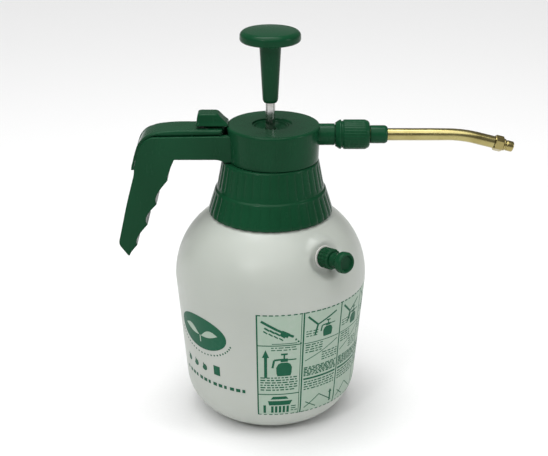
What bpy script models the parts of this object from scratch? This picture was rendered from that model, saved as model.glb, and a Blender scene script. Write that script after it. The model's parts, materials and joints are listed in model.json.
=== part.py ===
"""Two litre hand pump sprayer: bottle, collar, pump head with grip, thumb valve, lance, relief valve.

Frame: +Z up, origin at the centre of the bottle's base, the lance points along +X and the grip hangs at -X.
"""

from math import cos, hypot, pi, radians, sin, sqrt

import bmesh
import bpy
from mathutils import Matrix, Vector

MM = 0.001
GAP = 0.3 * MM              # between neighbouring pieces
ROUND = 36                  # sides of the large turned pieces
SMALL = 16                  # sides of the small turned pieces

# Bottle
BASE_R = 31.6 * MM          # flat of the base
CORNER_R = 33.1 * MM        # rounding between base and wall
BOTTLE_R = 71.5 * MM        # widest, where the shoulder starts
SHOULDER_Z = 111.1 * MM
SHOULDER_RISE = 55.6 * MM
SHOULDER_RUN = 50.3 * MM
NECK_R = 29.0 * MM
NECK_TOP = 190.0 * MM
WALL = 1.8 * MM
THREAD_PITCH = 4.0 * MM
THREAD_DEPTH = 1.9 * MM
THREAD_TURNS = 1.5

# Relief valve
RELIEF_AZIMUTH = radians(40)   # from the front towards the lance
RELIEF_TILT = radians(7.4)
RELIEF_FACE_S = 59.5 * MM      # flat seat of the dimple, along the valve's axis
RELIEF_FACE_Z = 134.7 * MM     # height where the valve's axis meets the bottle's axis
DIMPLE_R = 13.3 * MM

# Collar nut
COLLAR_TOP = 201.4 * MM
COLLAR_BORE = 32.3 * MM     # clears the neck's thread
COLLAR_LIP = 30.0 * MM      # held between the drum and the pump cylinder's flange
COLLAR_RIBS = 32
RIB_DEPTH = 1.1 * MM

# Head
DRUM_X = 2.0 * MM           # the drum stands a little forward of the pump's axis
DRUM_R = 34.0 * MM
DRUM_BOTTOM = 201.7 * MM
DRUM_TOP = 227.5 * MM
DRUM_WALL = 2.6 * MM
GUIDE_R = 13.0 * MM
ARM_HALF = 14.0 * MM
COVER_HALF = 12.0 * MM
OPENING_HALF = 9.5 * MM

# Pump
FLANGE_TOP = 195.6 * MM

# Thumb lever and discharge valve
LEVER_PIN_X = -35.5 * MM
LEVER_PIN_Z = 223.4 * MM
VALVE_X = -43.0 * MM
DIP_X = -21.0 * MM
DIP_R = 3.0 * MM

# Lance
LANCE_Z = 219.5 * MM
NUT_FLUTE = 0.6 * MM
TUBE_R = 4.45 * MM
TUBE_BEND_X = 128.0 * MM
TUBE_BEND_R = 88.0 * MM
TUBE_BEND = radians(14.5)
TUBE_TAIL = 12.5 * MM

GREEN = (0.009, 0.062, 0.026)
MATERIALS = {
    # name: (colour, roughness, metallic)
    "bottle_plastic": ((0.60, 0.65, 0.58), 0.35, 0.0),
    "green_plastic": (GREEN, 0.25, 0.0),
    "white_plastic": ((0.75, 0.75, 0.72), 0.4, 0.0),
    "black_rubber": ((0.012, 0.012, 0.012), 0.7, 0.0),
    "brass": ((0.55, 0.42, 0.14), 0.25, 1.0),
    "steel": ((0.55, 0.56, 0.57), 0.25, 1.0),
}


def clear_scene():
    for obj in list(bpy.data.objects):
        bpy.data.objects.remove(obj, do_unlink=True)


def material(kind, name):
    """A material of its own for the piece called name."""
    colour, roughness, metallic = MATERIALS[kind]
    mat = bpy.data.materials.new(name + "_" + kind)
    mat.use_nodes = True
    shader = mat.node_tree.nodes["Principled BSDF"]
    shader.inputs["Base Color"].default_value = (*colour, 1.0)
    shader.inputs["Roughness"].default_value = roughness
    shader.inputs["Metallic"].default_value = metallic
    return mat


def finish(bm, name, kind, origin=(0, 0, 0), turn=None, smooth=True):
    """Makes a named object of a bmesh, turned by the matrix turn and then moved to origin."""
    bmesh.ops.recalc_face_normals(bm, faces=bm.faces)
    mesh = bpy.data.meshes.new(name)
    bm.to_mesh(mesh)
    bm.free()
    obj = bpy.data.objects.new(name, mesh)
    bpy.context.scene.collection.objects.link(obj)
    obj.matrix_world = Matrix.Translation(origin) @ (turn or Matrix())
    if kind:
        mesh.materials.append(material(kind, name))
    else:
        obj.hide_render = True
        obj.display_type = "WIRE"
    if smooth:
        mesh.shade_smooth()
        mesh.set_sharp_from_angle(angle=radians(35))
    return obj


def turned_mesh(profile, sides, closed=True):
    """Spins (radius, height) pairs about Z. A closed profile is a ring; an open one ends on the axis."""
    bm = bmesh.new()
    points = [bm.verts.new((r, 0, z)) for r, z in profile]
    pairs = list(zip(points, points[1:]))
    if closed:
        pairs.append((points[-1], points[0]))
    edges = [bm.edges.new(pair) for pair in pairs]
    bmesh.ops.spin(bm, geom=points + edges, cent=(0, 0, 0), axis=(0, 0, 1), angle=2 * pi, steps=sides)
    bmesh.ops.remove_doubles(bm, verts=bm.verts, dist=0.005 * MM)
    bmesh.ops.recalc_face_normals(bm, faces=bm.faces)
    flat_centres = [
        vert
        for vert in bm.verts
        if hypot(vert.co.x, vert.co.y) < 0.01 * MM
        and all(abs(face.normal.z) > 0.9999 for face in vert.link_faces)
    ]
    bmesh.ops.dissolve_verts(bm, verts=flat_centres)
    return bm


def turned(name, kind, profile, sides=SMALL, closed=True, origin=(0, 0, 0), turn=None):
    return finish(turned_mesh(profile, sides, closed), name, kind, origin, turn)


def along(direction):
    """Rotation that takes +Z to the direction."""
    return Vector(direction).to_track_quat("Z", "Y").to_matrix().to_4x4()


def rod(name, radius, start, end, sides=SMALL, kind=None):
    """A plain round bar between two points."""
    start = Vector(start)
    axis = Vector(end) - start
    profile = [(0, 0), (radius, 0), (radius, axis.length), (0, axis.length)]
    return turned(name, kind, profile, sides, False, start, along(axis))


def block(name, low, high, kind=None):
    low = Vector(low)
    size = Vector(high) - low
    bm = bmesh.new()
    placed = Matrix.Translation(low + size / 2) @ Matrix.Diagonal(size).to_4x4()
    bmesh.ops.create_cube(bm, size=1.0, matrix=placed)
    return finish(bm, name, kind, smooth=False)


def prism(name, outline, half_width, kind=None, bevel=0.0, segments=2):
    """An outline of (x, z) pairs, extruded to y = -half_width and +half_width, its side edges rounded."""
    bm = bmesh.new()
    face = bm.faces.new([bm.verts.new((x, -half_width, z)) for x, z in outline])
    moved = bmesh.ops.extrude_face_region(bm, geom=[face])["geom"]
    upper = [v for v in moved if isinstance(v, bmesh.types.BMVert)]
    bmesh.ops.translate(bm, verts=upper, vec=(0, 2 * half_width, 0))
    bmesh.ops.recalc_face_normals(bm, faces=bm.faces)
    if bevel:
        sides = [f for f in bm.faces if abs(f.normal.y) > 0.99]
        rim = {edge for f in sides for edge in f.edges}
        bmesh.ops.bevel(
            bm,
            geom=list(rim),
            offset=bevel,
            segments=segments,
            profile=0.5,
            affect="EDGES",
            clamp_overlap=True,
        )
    return finish(bm, name, kind)


def tidy_seams(mesh):
    """Merges the doubled points and slivers that a cut leaves along its seams."""
    bm = bmesh.new()
    bm.from_mesh(mesh)
    bmesh.ops.remove_doubles(bm, verts=bm.verts, dist=0.002 * MM)
    bmesh.ops.dissolve_degenerate(bm, edges=bm.edges, dist=0.002 * MM)
    bm.to_mesh(mesh)
    bm.free()


def boolean(obj, other, operation="DIFFERENCE"):
    """Applies an exact Boolean straight away and removes the cutter."""
    mod = obj.modifiers.new(operation.lower(), "BOOLEAN")
    mod.operation = operation
    mod.object = other
    mod.solver = "EXACT"
    bpy.context.view_layer.update()
    graph = bpy.context.evaluated_depsgraph_get()
    mesh = bpy.data.meshes.new_from_object(obj.evaluated_get(graph))
    obj.modifiers.clear()
    old = obj.data
    obj.data = mesh
    bpy.data.meshes.remove(old)
    bpy.data.objects.remove(other, do_unlink=True)
    mesh.name = obj.name
    tidy_seams(mesh)
    mesh.shade_smooth()
    mesh.set_sharp_from_angle(angle=radians(35))
    return obj


def cut(obj, *cutters):
    for cutter in cutters:
        boolean(obj, cutter)
    return obj


def join(obj, *others):
    for other in others:
        boolean(obj, other, "UNION")
    return obj


def pipe(name, kind, path, outer, inner, sides=14):
    """A hollow tube along a path of points in the XZ plane or nearly so."""
    bm = bmesh.new()
    rings = []
    for index, point in enumerate(path):
        ahead = path[min(index + 1, len(path) - 1)] - path[max(index - 1, 0)]
        side = Vector((0, 1, 0))
        up = ahead.normalized().cross(side).normalized()
        side = up.cross(ahead.normalized())
        circle = [
            side * cos(2 * pi * step / sides) + up * sin(2 * pi * step / sides) for step in range(sides)
        ]
        both = [[bm.verts.new(point + spoke * radius) for spoke in circle] for radius in (outer, inner)]
        rings.append(both)
    loops = [ring[0] for ring in rings] + [ring[1] for ring in reversed(rings)]
    for first, second in zip(loops, loops[1:] + loops[:1]):
        for step in range(sides):
            after = (step + 1) % sides
            bm.faces.new((first[step], first[after], second[after], second[step]))
    return finish(bm, name, kind)


def coil(name, kind, radius, wire, low, high, turns, origin=(0, 0, 0), turn=None):
    """A compression spring along Z with its wire's middle between the heights low and high."""
    steps_per_turn = 10
    wire_sides = 4
    steps = int(turns * steps_per_turn)
    bm = bmesh.new()
    rings = []
    for step in range(steps + 1):
        angle = 2 * pi * step / steps_per_turn
        height = low + (high - low) * step / steps
        outward = Vector((cos(angle), sin(angle), 0))
        centre = outward * radius + Vector((0, 0, height))
        rings.append(
            [
                bm.verts.new(
                    centre
                    + outward * wire * cos(2 * pi * side / wire_sides)
                    + Vector((0, 0, wire * sin(2 * pi * side / wire_sides)))
                )
                for side in range(wire_sides)
            ]
        )
    for first, second in zip(rings, rings[1:]):
        for side in range(wire_sides):
            after = (side + 1) % wire_sides
            bm.faces.new((first[side], first[after], second[after], second[side]))
    bm.faces.new(rings[0])
    bm.faces.new(rings[-1])
    return finish(bm, name, kind, origin, turn)


def arc(centre_r, centre_z, run, rise, start, end, steps):
    """Points of an ellipse's arc, from the angle start to the angle end."""
    points = []
    for step in range(steps + 1):
        angle = start + (end - start) * step / steps
        points.append((centre_r + run * cos(angle), centre_z + rise * sin(angle)))
    return points


def shoulder_height(radius):
    """Height of the bottle's shoulder at a radius."""
    across = (radius - (BOTTLE_R - SHOULDER_RUN)) / SHOULDER_RUN
    return SHOULDER_Z + SHOULDER_RISE * sqrt(1 - across * across)


def bottle_outline(inset, steps):
    """The bottle's wall from the base's flat to the neck's foot, moved inwards by inset."""
    neck = NECK_R - inset
    turn_end = pi / 2 - 0.158
    bottom = arc(BASE_R, CORNER_R, CORNER_R - inset, CORNER_R - inset, -pi / 2, -0.06, steps)
    run = SHOULDER_RUN - inset
    rise = SHOULDER_RISE - inset
    shoulder = arc(BOTTLE_R - SHOULDER_RUN, SHOULDER_Z, run, rise, 0.0, turn_end, steps + 2)
    shoulder = [(r, z) for r, z in shoulder if r > neck + 1.2 * MM]
    return bottom + shoulder + [(neck, shoulder[-1][1] + 1.0 * MM)]


RELIEF_AXIS = Vector(
    (sin(RELIEF_AZIMUTH) * cos(RELIEF_TILT), -cos(RELIEF_AZIMUTH) * cos(RELIEF_TILT), sin(RELIEF_TILT))
)
RELIEF_ORIGIN = Vector((0, 0, RELIEF_FACE_Z))


def on_relief(name, kind, profile, sides=SMALL, closed=True):
    """A turned piece on the relief valve's axis, with heights counted outwards from the bottle's axis."""
    return turned(name, kind, profile, sides, closed, RELIEF_ORIGIN, along(RELIEF_AXIS))


def make_bottle():
    outside = bottle_outline(0, 5)
    inside = bottle_outline(WALL, 3)
    bore = NECK_R - WALL - 0.7 * MM
    rim = [(NECK_R, NECK_TOP), (bore, NECK_TOP), (bore, inside[-1][1])]
    profile = [(0, 0)] + outside + rim + inside[-2::-1] + [(0, WALL)]
    bottle = turned("bottle", "bottle_plastic", profile, ROUND, False)

    full = turned("bottle_full", None, [(0, 0)] + outside + [(0, outside[-1][1])], ROUND, False)
    boss = [(0, 55.5 * MM), (15.5 * MM, 55.5 * MM), (15.5 * MM, 90 * MM), (0, 90 * MM)]
    seat = on_relief("relief_seat", None, boss, 24, False)
    boolean(seat, full, "INTERSECT")
    join(bottle, seat)
    dimple = [(0, RELIEF_FACE_S), (DIMPLE_R - 2.5 * MM, RELIEF_FACE_S), (DIMPLE_R, 61.5 * MM)]
    dimple += [(DIMPLE_R + 1.5 * MM, 90 * MM), (0, 90 * MM)]
    hole = [(0, 45 * MM), (6.3 * MM, 45 * MM), (6.3 * MM, 70 * MM), (0, 70 * MM)]
    cut(bottle, on_relief("dimple", None, dimple, 24, False), on_relief("hole", None, hole, SMALL, False))
    join(bottle, neck_thread())
    return bottle


def neck_thread():
    """The helical ridge on the neck, fading into it at both ends."""
    steps_per_turn = 18
    steps = int(THREAD_TURNS * steps_per_turn)
    root = NECK_R - 0.5 * MM
    bm = bmesh.new()
    rings = []
    for step in range(steps + 1):
        angle = 2 * pi * step / steps_per_turn
        fade = min(1.0, step / 4, (steps - step) / 4)
        crest = root + 0.2 * MM + THREAD_DEPTH * fade
        height = 176 * MM + THREAD_PITCH * step / steps_per_turn
        section = [(root, -1.1 * MM), (crest, -0.4 * MM), (crest, 0.4 * MM), (root, 1.1 * MM)]
        rings.append([bm.verts.new((r * cos(angle), r * sin(angle), height + dz)) for r, dz in section])
    for first, second in zip(rings, rings[1:]):
        for side in range(4):
            after = (side + 1) % 4
            bm.faces.new((first[side], first[after], second[after], second[side]))
    bm.faces.new(rings[0])
    bm.faces.new(rings[-1])
    return finish(bm, "neck_thread", None)


def make_relief_valve():
    base = [(1.8, 52.0), (6.0, 52.0), (6.0, 60.8), (7.5, 60.8), (7.5, 69.8), (6.7, 70.8), (2.2, 70.8)]
    base += [(2.2, 68.6), (4.4, 68.6), (4.4, 54.0), (1.8, 54.0)]
    on_relief("relief_base", "green_plastic", scaled(base))
    on_relief("relief_seal", "black_rubber", scaled([(6.4, 59.8), (8.4, 59.8), (8.4, 60.5), (6.4, 60.5)]))
    knob = [(0, 57.0), (1.8, 57.0), (1.8, 71.2), (5.0, 71.2), (5.0, 76.2), (7.8, 78.4), (7.8, 83.6)]
    knob += [(6.8, 84.6), (5.2, 84.6), (5.0, 82.4), (0, 82.4)]
    on_relief("relief_knob", "green_plastic", scaled(knob), 20, False)
    washer = scaled([(0, 54.3), (3.9, 54.3), (3.9, 56.7), (0, 56.7)])
    on_relief("relief_washer", "black_rubber", washer, 16, False)
    turn = along(RELIEF_AXIS)
    coil("relief_spring", "steel", 3.2 * MM, 0.4 * MM, 57.5 * MM, 67.9 * MM, 4, RELIEF_ORIGIN, turn)


def scaled(profile):
    """Millimetres to metres."""
    return [(r * MM, z * MM) for r, z in profile]


def make_collar():
    """A nut with two flared, ribbed tiers: every other point of each outer ring stands back into a flute."""
    inside = [(r, shoulder_height(r) + 0.5 * MM) for r in (43.5 * MM, 38.0 * MM, COLLAR_BORE)]
    lip_low = FLANGE_TOP + GAP
    bore = [(COLLAR_BORE, lip_low), (COLLAR_LIP, lip_low), (COLLAR_LIP, COLLAR_TOP)]
    outside = [(34.6, 201.4), (35.5, 200.6), (39.2, 180.4), (40.6, 179.0), (45.7, 162.9), (45.9, 161.4)]
    profile = inside + bore + scaled(outside)
    bm = turned_mesh(profile, 2 * COLLAR_RIBS)
    for vert in bm.verts:
        radius = hypot(vert.co.x, vert.co.y)
        fluted = radius > 35 * MM and is_outside(radius, vert.co.z, scaled(outside))
        if fluted and side_of(vert, 2 * COLLAR_RIBS) % 2:
            vert.co.xy *= (radius - RIB_DEPTH) / radius
    return finish(bm, "collar_nut", "green_plastic")


def side_of(vert, sides):
    """Which of the sides of a turned piece a point stands at."""
    return round(sides * vert.co.xy.angle_signed(Vector((1, 0))) / (2 * pi))


def is_outside(radius, height, rings):
    return any(abs(radius - r) < 0.01 * MM and abs(height - z) < 0.01 * MM for r, z in rings)


def grip_front():
    """The finger scallops, from the grip's tip up to the arm: each bows back just above its lower crest."""
    crests = scaled([(-105.0, 128.5), (-98.6, 137.8), (-90.4, 154.0), (-83.2, 170.0), (-74.6, 188.5)])
    crests += scaled([(-69.5, 204.4)])
    depths = [0.6 * MM, 2.2 * MM, 3.0 * MM, 2.6 * MM, 0.8 * MM]
    steps = 4
    points = []
    for (x0, z0), (x1, z1), depth in zip(crests, crests[1:], depths):
        length = hypot(x1 - x0, z1 - z0)
        for step in range(steps):
            part = step / steps
            bow = depth * sin(pi * part ** 0.65)
            x = x0 + (x1 - x0) * part - bow * (z1 - z0) / length
            z = z0 + (z1 - z0) * part + bow * (x1 - x0) / length
            points.append((x, z))
    return points + [crests[-1]]


def arm_outline():
    back = [(-97.6, 200.5), (-98.9, 193.2), (-104.8, 171.7), (-110.4, 147.4), (-112.4, 138.6)]
    corner = [(-86.0, 220.8), (-90.6, 218.4), (-93.6, 214.4), (-95.6, 209.0)]
    under = [(-37.5, 204.4), (-33.0, 202.4), (-12.0, 202.4), (-12.0, 221.9), (-30.0, 221.9)]
    return grip_front() + scaled(under) + scaled(corner) + scaled(back)


def make_head():
    drum_low = 33.2 * MM
    profile = [(0, DRUM_BOTTOM), (drum_low, DRUM_BOTTOM), (DRUM_R, DRUM_TOP - 1.6 * MM)]
    profile += [(DRUM_R - 0.5 * MM, DRUM_TOP - 0.5 * MM), (DRUM_R - 1.6 * MM, DRUM_TOP), (0, DRUM_TOP)]
    head = turned("head_housing", "green_plastic", profile, ROUND, False, (DRUM_X, 0, 0))
    head.data.transform(head.matrix_world)
    head.matrix_world = Matrix()
    neck = rod("head_neck", 29.5 * MM, (0, 0, FLANGE_TOP + GAP), (0, 0, DRUM_BOTTOM + 1 * MM), ROUND)
    arm = prism("arm", arm_outline(), ARM_HALF, bevel=2.0 * MM)
    spigot = rod("spigot", 7.9 * MM, (30 * MM, 0, LANCE_Z), (46.5 * MM, 0, LANCE_Z), 24)
    thread = rod("spigot_thread", 6.8 * MM, (40 * MM, 0, LANCE_Z), (62 * MM, 0, LANCE_Z), 24)
    join(head, neck, arm, spigot, thread)

    inner_r = drum_low - DRUM_WALL
    low = rod("low_room", 26.3 * MM, (0, 0, 190 * MM), (0, 0, 206 * MM), ROUND)
    room = rod("room", inner_r, (DRUM_X, 0, 204.3 * MM), (DRUM_X, 0, DRUM_TOP - 3.0 * MM), ROUND)
    cut(head, low, room)
    boss = rod("guide_boss", GUIDE_R + GAP + 2.5 * MM, (0, 0, 198.5 * MM), (0, 0, DRUM_TOP - 1 * MM), 32)
    join(head, boss)
    cut(head, rod("guide_bore", GUIDE_R + GAP, (0, 0, 190 * MM), (0, 0, 240 * MM), 32))

    arm_room = scaled([(-24, 206.9), (-72.5, 206.9), (-80.0, 188.5), (-88.8, 170.5), (-95.6, 155.5)])
    arm_room += scaled([(-102.0, 141.5), (-106.2, 138.4), (-107.9, 147.0), (-102.4, 171.2)])
    arm_room += scaled([(-95.8, 193.0), (-92.6, 208.5)])
    arm_room += scaled([(-89.0, 215.4), (-85.0, 218.3), (-24, 219.3)])
    opening = scaled([(-29.0, 212.0), (-29.0, 225.0), (-84.0, 225.0), (-93.0, 224.0), (-105.0, 203.0)])
    opening += scaled([(-90.0, 203.0), (-84.0, 212.0)])
    cut(head, prism("arm_room", arm_room, ARM_HALF - 2.4 * MM), prism("opening", opening, OPENING_HALF))

    bore = rod("spigot_bore", 5.9 * MM, (42 * MM, 0, LANCE_Z), (70 * MM, 0, LANCE_Z))
    passage = rod("passage", 1.8 * MM, (26 * MM, 0, LANCE_Z), (50 * MM, 0, LANCE_Z), 12)
    cut(head, bore, passage)
    return head


def make_arm_cover():
    """The cap on the arm: a 4 mm slab that follows the arm's top, with a slot for the thumb lever."""
    top = scaled([(-34.6, 226.0), (-70.0, 226.0), (-84.0, 224.2), (-89.6, 222.0), (-93.4, 218.6)])
    top += scaled([(-96.0, 214.0), (-99.0, 203.4), (-100.9, 198.6), (-99.6, 195.6)])
    under = scaled([(-98.9, 198.8), (-96.3, 208.6), (-94.2, 214.7), (-91.0, 218.9), (-86.1, 221.5)])
    under += scaled([(-34.6, 222.3)])
    cover = prism("arm_cover", top + under, COVER_HALF, "green_plastic", bevel=1.0 * MM)
    slot = block("slot", (-48 * MM, -4.8 * MM, 215 * MM), (-30 * MM, 4.8 * MM, 230 * MM))
    left, right = [(LEVER_PIN_X, y, LEVER_PIN_Z) for y in (-9.6 * MM, 9.6 * MM)]
    groove = rod("groove", 1.5 * MM, left, right, 12)
    under_groove = block(
        "under_groove",
        (LEVER_PIN_X - 1.5 * MM, -9.6 * MM, 215 * MM),
        (LEVER_PIN_X + 1.5 * MM, 9.6 * MM, LEVER_PIN_Z),
    )
    return cut(cover, slot, groove, under_groove)


def make_thumb_lever():
    """The button, with a lug on the pin and a foot over the valve's stem. Its origin is on the pin."""
    outline = scaled([(-53.2, 228.2), (-52.2, 235.2), (-50.6, 236.6), (-38.4, 236.6), (-36.6, 236.0)])
    outline += scaled([(-31.0, 231.6), (-30.6, 229.4), (-31.6, 228.2)])
    lever = prism("thumb_lever", outline, 7.6 * MM, "green_plastic", bevel=1.6 * MM)
    for vert in lever.data.vertices:
        vert.co.y *= 1.0 - 0.16 * max(0.0, (vert.co.z - 228.2 * MM) / (8.4 * MM))
    lug = prism("lug", scaled([(-37.9, 230), (-37.9, 221.6), (-33.1, 221.6), (-33.1, 230)]), 4.2 * MM)
    foot = prism("foot", scaled([(-45.0, 230), (-45.0, 219.7), (-41.0, 219.7), (-41.0, 230)]), 3.2 * MM)
    join(lever, lug, foot)
    left, right = [(LEVER_PIN_X, y, LEVER_PIN_Z) for y in (-9 * MM, 9 * MM)]
    cut(lever, rod("pin_hole", 1.3 * MM, left, right, 16))
    move_origin(lever, (LEVER_PIN_X, 0, LEVER_PIN_Z))
    return lever


def move_origin(obj, point):
    """Puts an object's origin at a point of the world without moving its shape."""
    point = Vector(point)
    obj.data.transform(Matrix.Translation(-point))
    obj.location = point


def make_valve():
    low, high = [(VALVE_X, 0, z) for z in (207.2 * MM, 217.4 * MM)]
    body = rod("valve_body", 5.4 * MM, low, high, SMALL, "white_plastic")
    body.data.transform(body.matrix_world)
    body.matrix_world = Matrix()
    inlet = rod("inlet", 2.6 * MM, (VALVE_X, 0, 210.2 * MM), (DIP_X, 0, 210.2 * MM), 12)
    outlet = rod("outlet", 1.7 * MM, (VALVE_X, 0, 215.2 * MM), (-36.4 * MM, 0, 215.2 * MM), 12)
    elbow = rod("elbow", 4.4 * MM, (DIP_X, 0, 203.0 * MM), (DIP_X, 0, 212.8 * MM), 16)
    join(body, inlet, outlet, elbow)
    chamber = rod("chamber", 3.0 * MM, (VALVE_X, 0, 208.6 * MM), (VALVE_X, 0, 220 * MM), 16)
    inlet_bore = rod("inlet_bore", 1.5 * MM, (VALVE_X, 0, 210.2 * MM), (DIP_X, 0, 210.2 * MM), 10)
    outlet_bore = rod("outlet_bore", 0.9 * MM, (VALVE_X, 0, 215.2 * MM), (-30 * MM, 0, 215.2 * MM), 8)
    socket = rod("socket", DIP_R + 0.15 * MM, (DIP_X, 0, 200 * MM), (DIP_X, 0, 208.2 * MM), 16)
    riser = rod("riser", 1.6 * MM, (DIP_X, 0, 205 * MM), (DIP_X, 0, 210.4 * MM), 10)
    cut(body, chamber, inlet_bore, outlet_bore, socket, riser)

    stem = [(0, 211.6), (1.6, 211.6), (1.6, 214.2), (2.6, 214.2), (2.6, 215.0), (1.6, 215.0), (1.6, 219.0)]
    stem += [(1.3, 219.4), (0, 219.4)]
    turned("valve_stem", "brass", scaled(stem), 14, False, (VALVE_X, 0, 0))
    seal = scaled([(1.9, 212.2), (2.7, 212.2), (2.7, 213.9), (1.9, 213.9)])
    turned("valve_seal", "black_rubber", seal, 14, True, (VALVE_X, 0, 0))
    coil("valve_spring", "steel", 1.6 * MM, 0.25 * MM, 209.1 * MM, 211.0 * MM, 2, (VALVE_X, 0, 0))
    rod(
        "lever_pin",
        1.1 * MM,
        (LEVER_PIN_X, -9.2 * MM, LEVER_PIN_Z),
        (LEVER_PIN_X, 9.2 * MM, LEVER_PIN_Z),
        14,
        "steel",
    )


def smooth_path(points, steps):
    """Points of a Catmull-Rom curve through the given points."""
    padded = [points[0] * 2 - points[1]] + points + [points[-1] * 2 - points[-2]]
    path = []
    for a, b, c, d in zip(padded, padded[1:], padded[2:], padded[3:]):
        for step in range(steps):
            t = step / steps
            square = (2 * a - 5 * b + 4 * c - d) * t * t
            cube = (3 * b - 3 * c + d - a) * t ** 3
            path.append(0.5 * (2 * b + (c - a) * t + square + cube))
    return path + [points[-1]]


def make_delivery_tube():
    """Soft tube from the valve's outlet round the guide's boss to the spigot."""
    route = [(-36.0, 0, 215.2), (-31.0, 1.0, 215.2), (-24.0, 6.5, 215.4), (-15.0, 16.5, 215.8)]
    route += [(-2.0, 22.0, 216.6), (11.0, 20.0, 217.8), (20.0, 12.0, 219.0), (23.5, 5.0, 219.4)]
    route += [(26.5, 1.0, 219.5), (29.8, 0, 219.5)]
    points = smooth_path([Vector(p) * MM for p in route], 2)
    curve = bpy.data.curves.new("delivery_tube", "CURVE")
    curve.dimensions = "3D"
    curve.bevel_depth = 1.9 * MM
    curve.bevel_resolution = 2
    curve.use_fill_caps = True
    spline = curve.splines.new("POLY")
    spline.points.add(len(points) - 1)
    for spline_point, point in zip(spline.points, points):
        spline_point.co = (*point, 1.0)
    tube = bpy.data.objects.new("delivery_tube", curve)
    curve.materials.append(material("white_plastic", "delivery_tube"))
    bpy.context.scene.collection.objects.link(tube)
    return tube


def make_pump():
    cylinder = [(14.5, 62.5), (14.5, 195.6), (31.8, 195.6), (31.8, 192.6), (16.0, 192.6), (16.0, 60.0)]
    cylinder += [(2.0, 60.0), (2.0, 62.5)]
    pump = turned("pump_cylinder", "white_plastic", scaled(cylinder), 28)
    cut(pump, rod("dip_hole", DIP_R + GAP, (DIP_X, 0, 180 * MM), (DIP_X, 0, 210 * MM), 16))
    for step in range(4):
        angle = pi / 4 + step * pi / 2
        x, y = 5.0 * MM * cos(angle), 5.0 * MM * sin(angle)
        cut(pump, rod("air_hole", 1.2 * MM, (x, y, 50 * MM), (x, y, 70 * MM), 8))
    flap = [(0, 57.2), (7.6, 57.2), (7.9, 59.5), (6.0, 59.7), (1.6, 59.4), (1.6, 63.2), (0, 63.2)]
    turned("check_valve", "black_rubber", scaled(flap), SMALL, False)
    gasket = scaled([(26.8, 190.3), (31.6, 190.3), (31.6, 192.3), (26.8, 192.3)])
    turned("neck_gasket", "black_rubber", gasket, 32)

    guide = [(3.75, 196.0), (13.0, 196.0), (13.0, 226.3), (11.6, 226.3), (10.6, 225.2), (6.2, 225.2)]
    guide += [(5.4, 226.0), (3.75, 226.0)]
    turned("rod_guide", "green_plastic", scaled(guide), 28)

    shaft = [(0, 80.6), (2.6, 80.6), (3.0, 81.0), (3.0, 98.6), (3.5, 98.6), (3.5, 261.4), (0, 261.4)]
    turned("pump_rod", "steel", scaled(shaft), SMALL, False)
    spool = [(3.3, 84.3), (13.2, 84.3), (13.9, 85.2), (13.9, 88.0), (12.0, 88.0), (12.0, 92.0), (13.9, 92.0)]
    spool += [(13.9, 96.6), (12.6, 98.0), (3.3, 98.0)]
    turned("piston", "white_plastic", scaled(spool), 24)
    ring = scaled([(12.3, 88.4), (14.2, 88.4), (14.35, 90.0), (14.2, 91.6), (12.3, 91.6)])
    turned("piston_ring", "black_rubber", ring, 24)
    nut = turned("piston_nut", "brass", scaled([(0, 79.8), (6.2, 79.8), (6.2, 84.0), (0, 84.0)]), 6, False)
    cut(nut, rod("nut_hole", 3.2 * MM, (0, 0, 70 * MM), (0, 0, 90 * MM)))

    knob = [(3.7, 243.9), (4.9, 243.9), (5.6, 244.9), (5.7, 248.0), (7.8, 284.0), (8.6, 287.2), (10.0, 288.4)]
    knob += [(20.8, 288.4), (21.8, 289.5), (21.7, 293.4), (20.9, 295.1), (19.2, 296.1), (15.5, 296.5)]
    knob += [(0, 297.0), (0, 261.7), (3.7, 261.7)]
    turned("plunger_knob", "green_plastic", scaled(knob), 32)


def make_dip_tube():
    tube = rod("dip_tube", DIP_R, (DIP_X, 0, 8.0 * MM), (DIP_X, 0, 207.9 * MM), 12, "white_plastic")
    tube.data.transform(tube.matrix_world)
    tube.matrix_world = Matrix()
    cut(tube, rod("dip_bore", 2.0 * MM, (DIP_X, 0, 0), (DIP_X, 0, 230 * MM), 12))
    cup = scaled([(0, 4.6), (4.6, 4.6), (5.2, 5.4), (5.2, 14.0), (3.3, 14.0), (3.3, 7.6), (0, 7.6)])
    strainer = turned("intake_filter", "white_plastic", cup, 16, False, (DIP_X, 0, 0))
    for z in (5.9 * MM, 8.4 * MM):
        low = (DIP_X - 9 * MM, -0.5 * MM, z)
        cut(strainer, block("slit", low, (DIP_X + 9 * MM, 0.5 * MM, z + 1.2 * MM)))


def lance_path():
    """Middle line of the brass tube: straight, then an arc downwards, then a short straight end."""
    path = [Vector((x * MM, 0, LANCE_Z)) for x in (49.0, 70.0, 100.0)]
    steps = 5
    for step in range(steps + 1):
        angle = TUBE_BEND * step / steps
        path.append(
            Vector((TUBE_BEND_X + TUBE_BEND_R * sin(angle), 0, LANCE_Z - TUBE_BEND_R * (1 - cos(angle))))
        )
    path.append(path[-1] + tip_direction() * TUBE_TAIL)
    return path


def tip_direction():
    return Vector((cos(TUBE_BEND), 0, -sin(TUBE_BEND)))


def on_axis_x(name, kind, profile, sides=SMALL, closed=True):
    """A turned piece on the lance's straight axis; heights in the profile are X."""
    return turned(name, kind, scaled(profile), sides, closed, (0, 0, LANCE_Z), along((1, 0, 0)))


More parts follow.
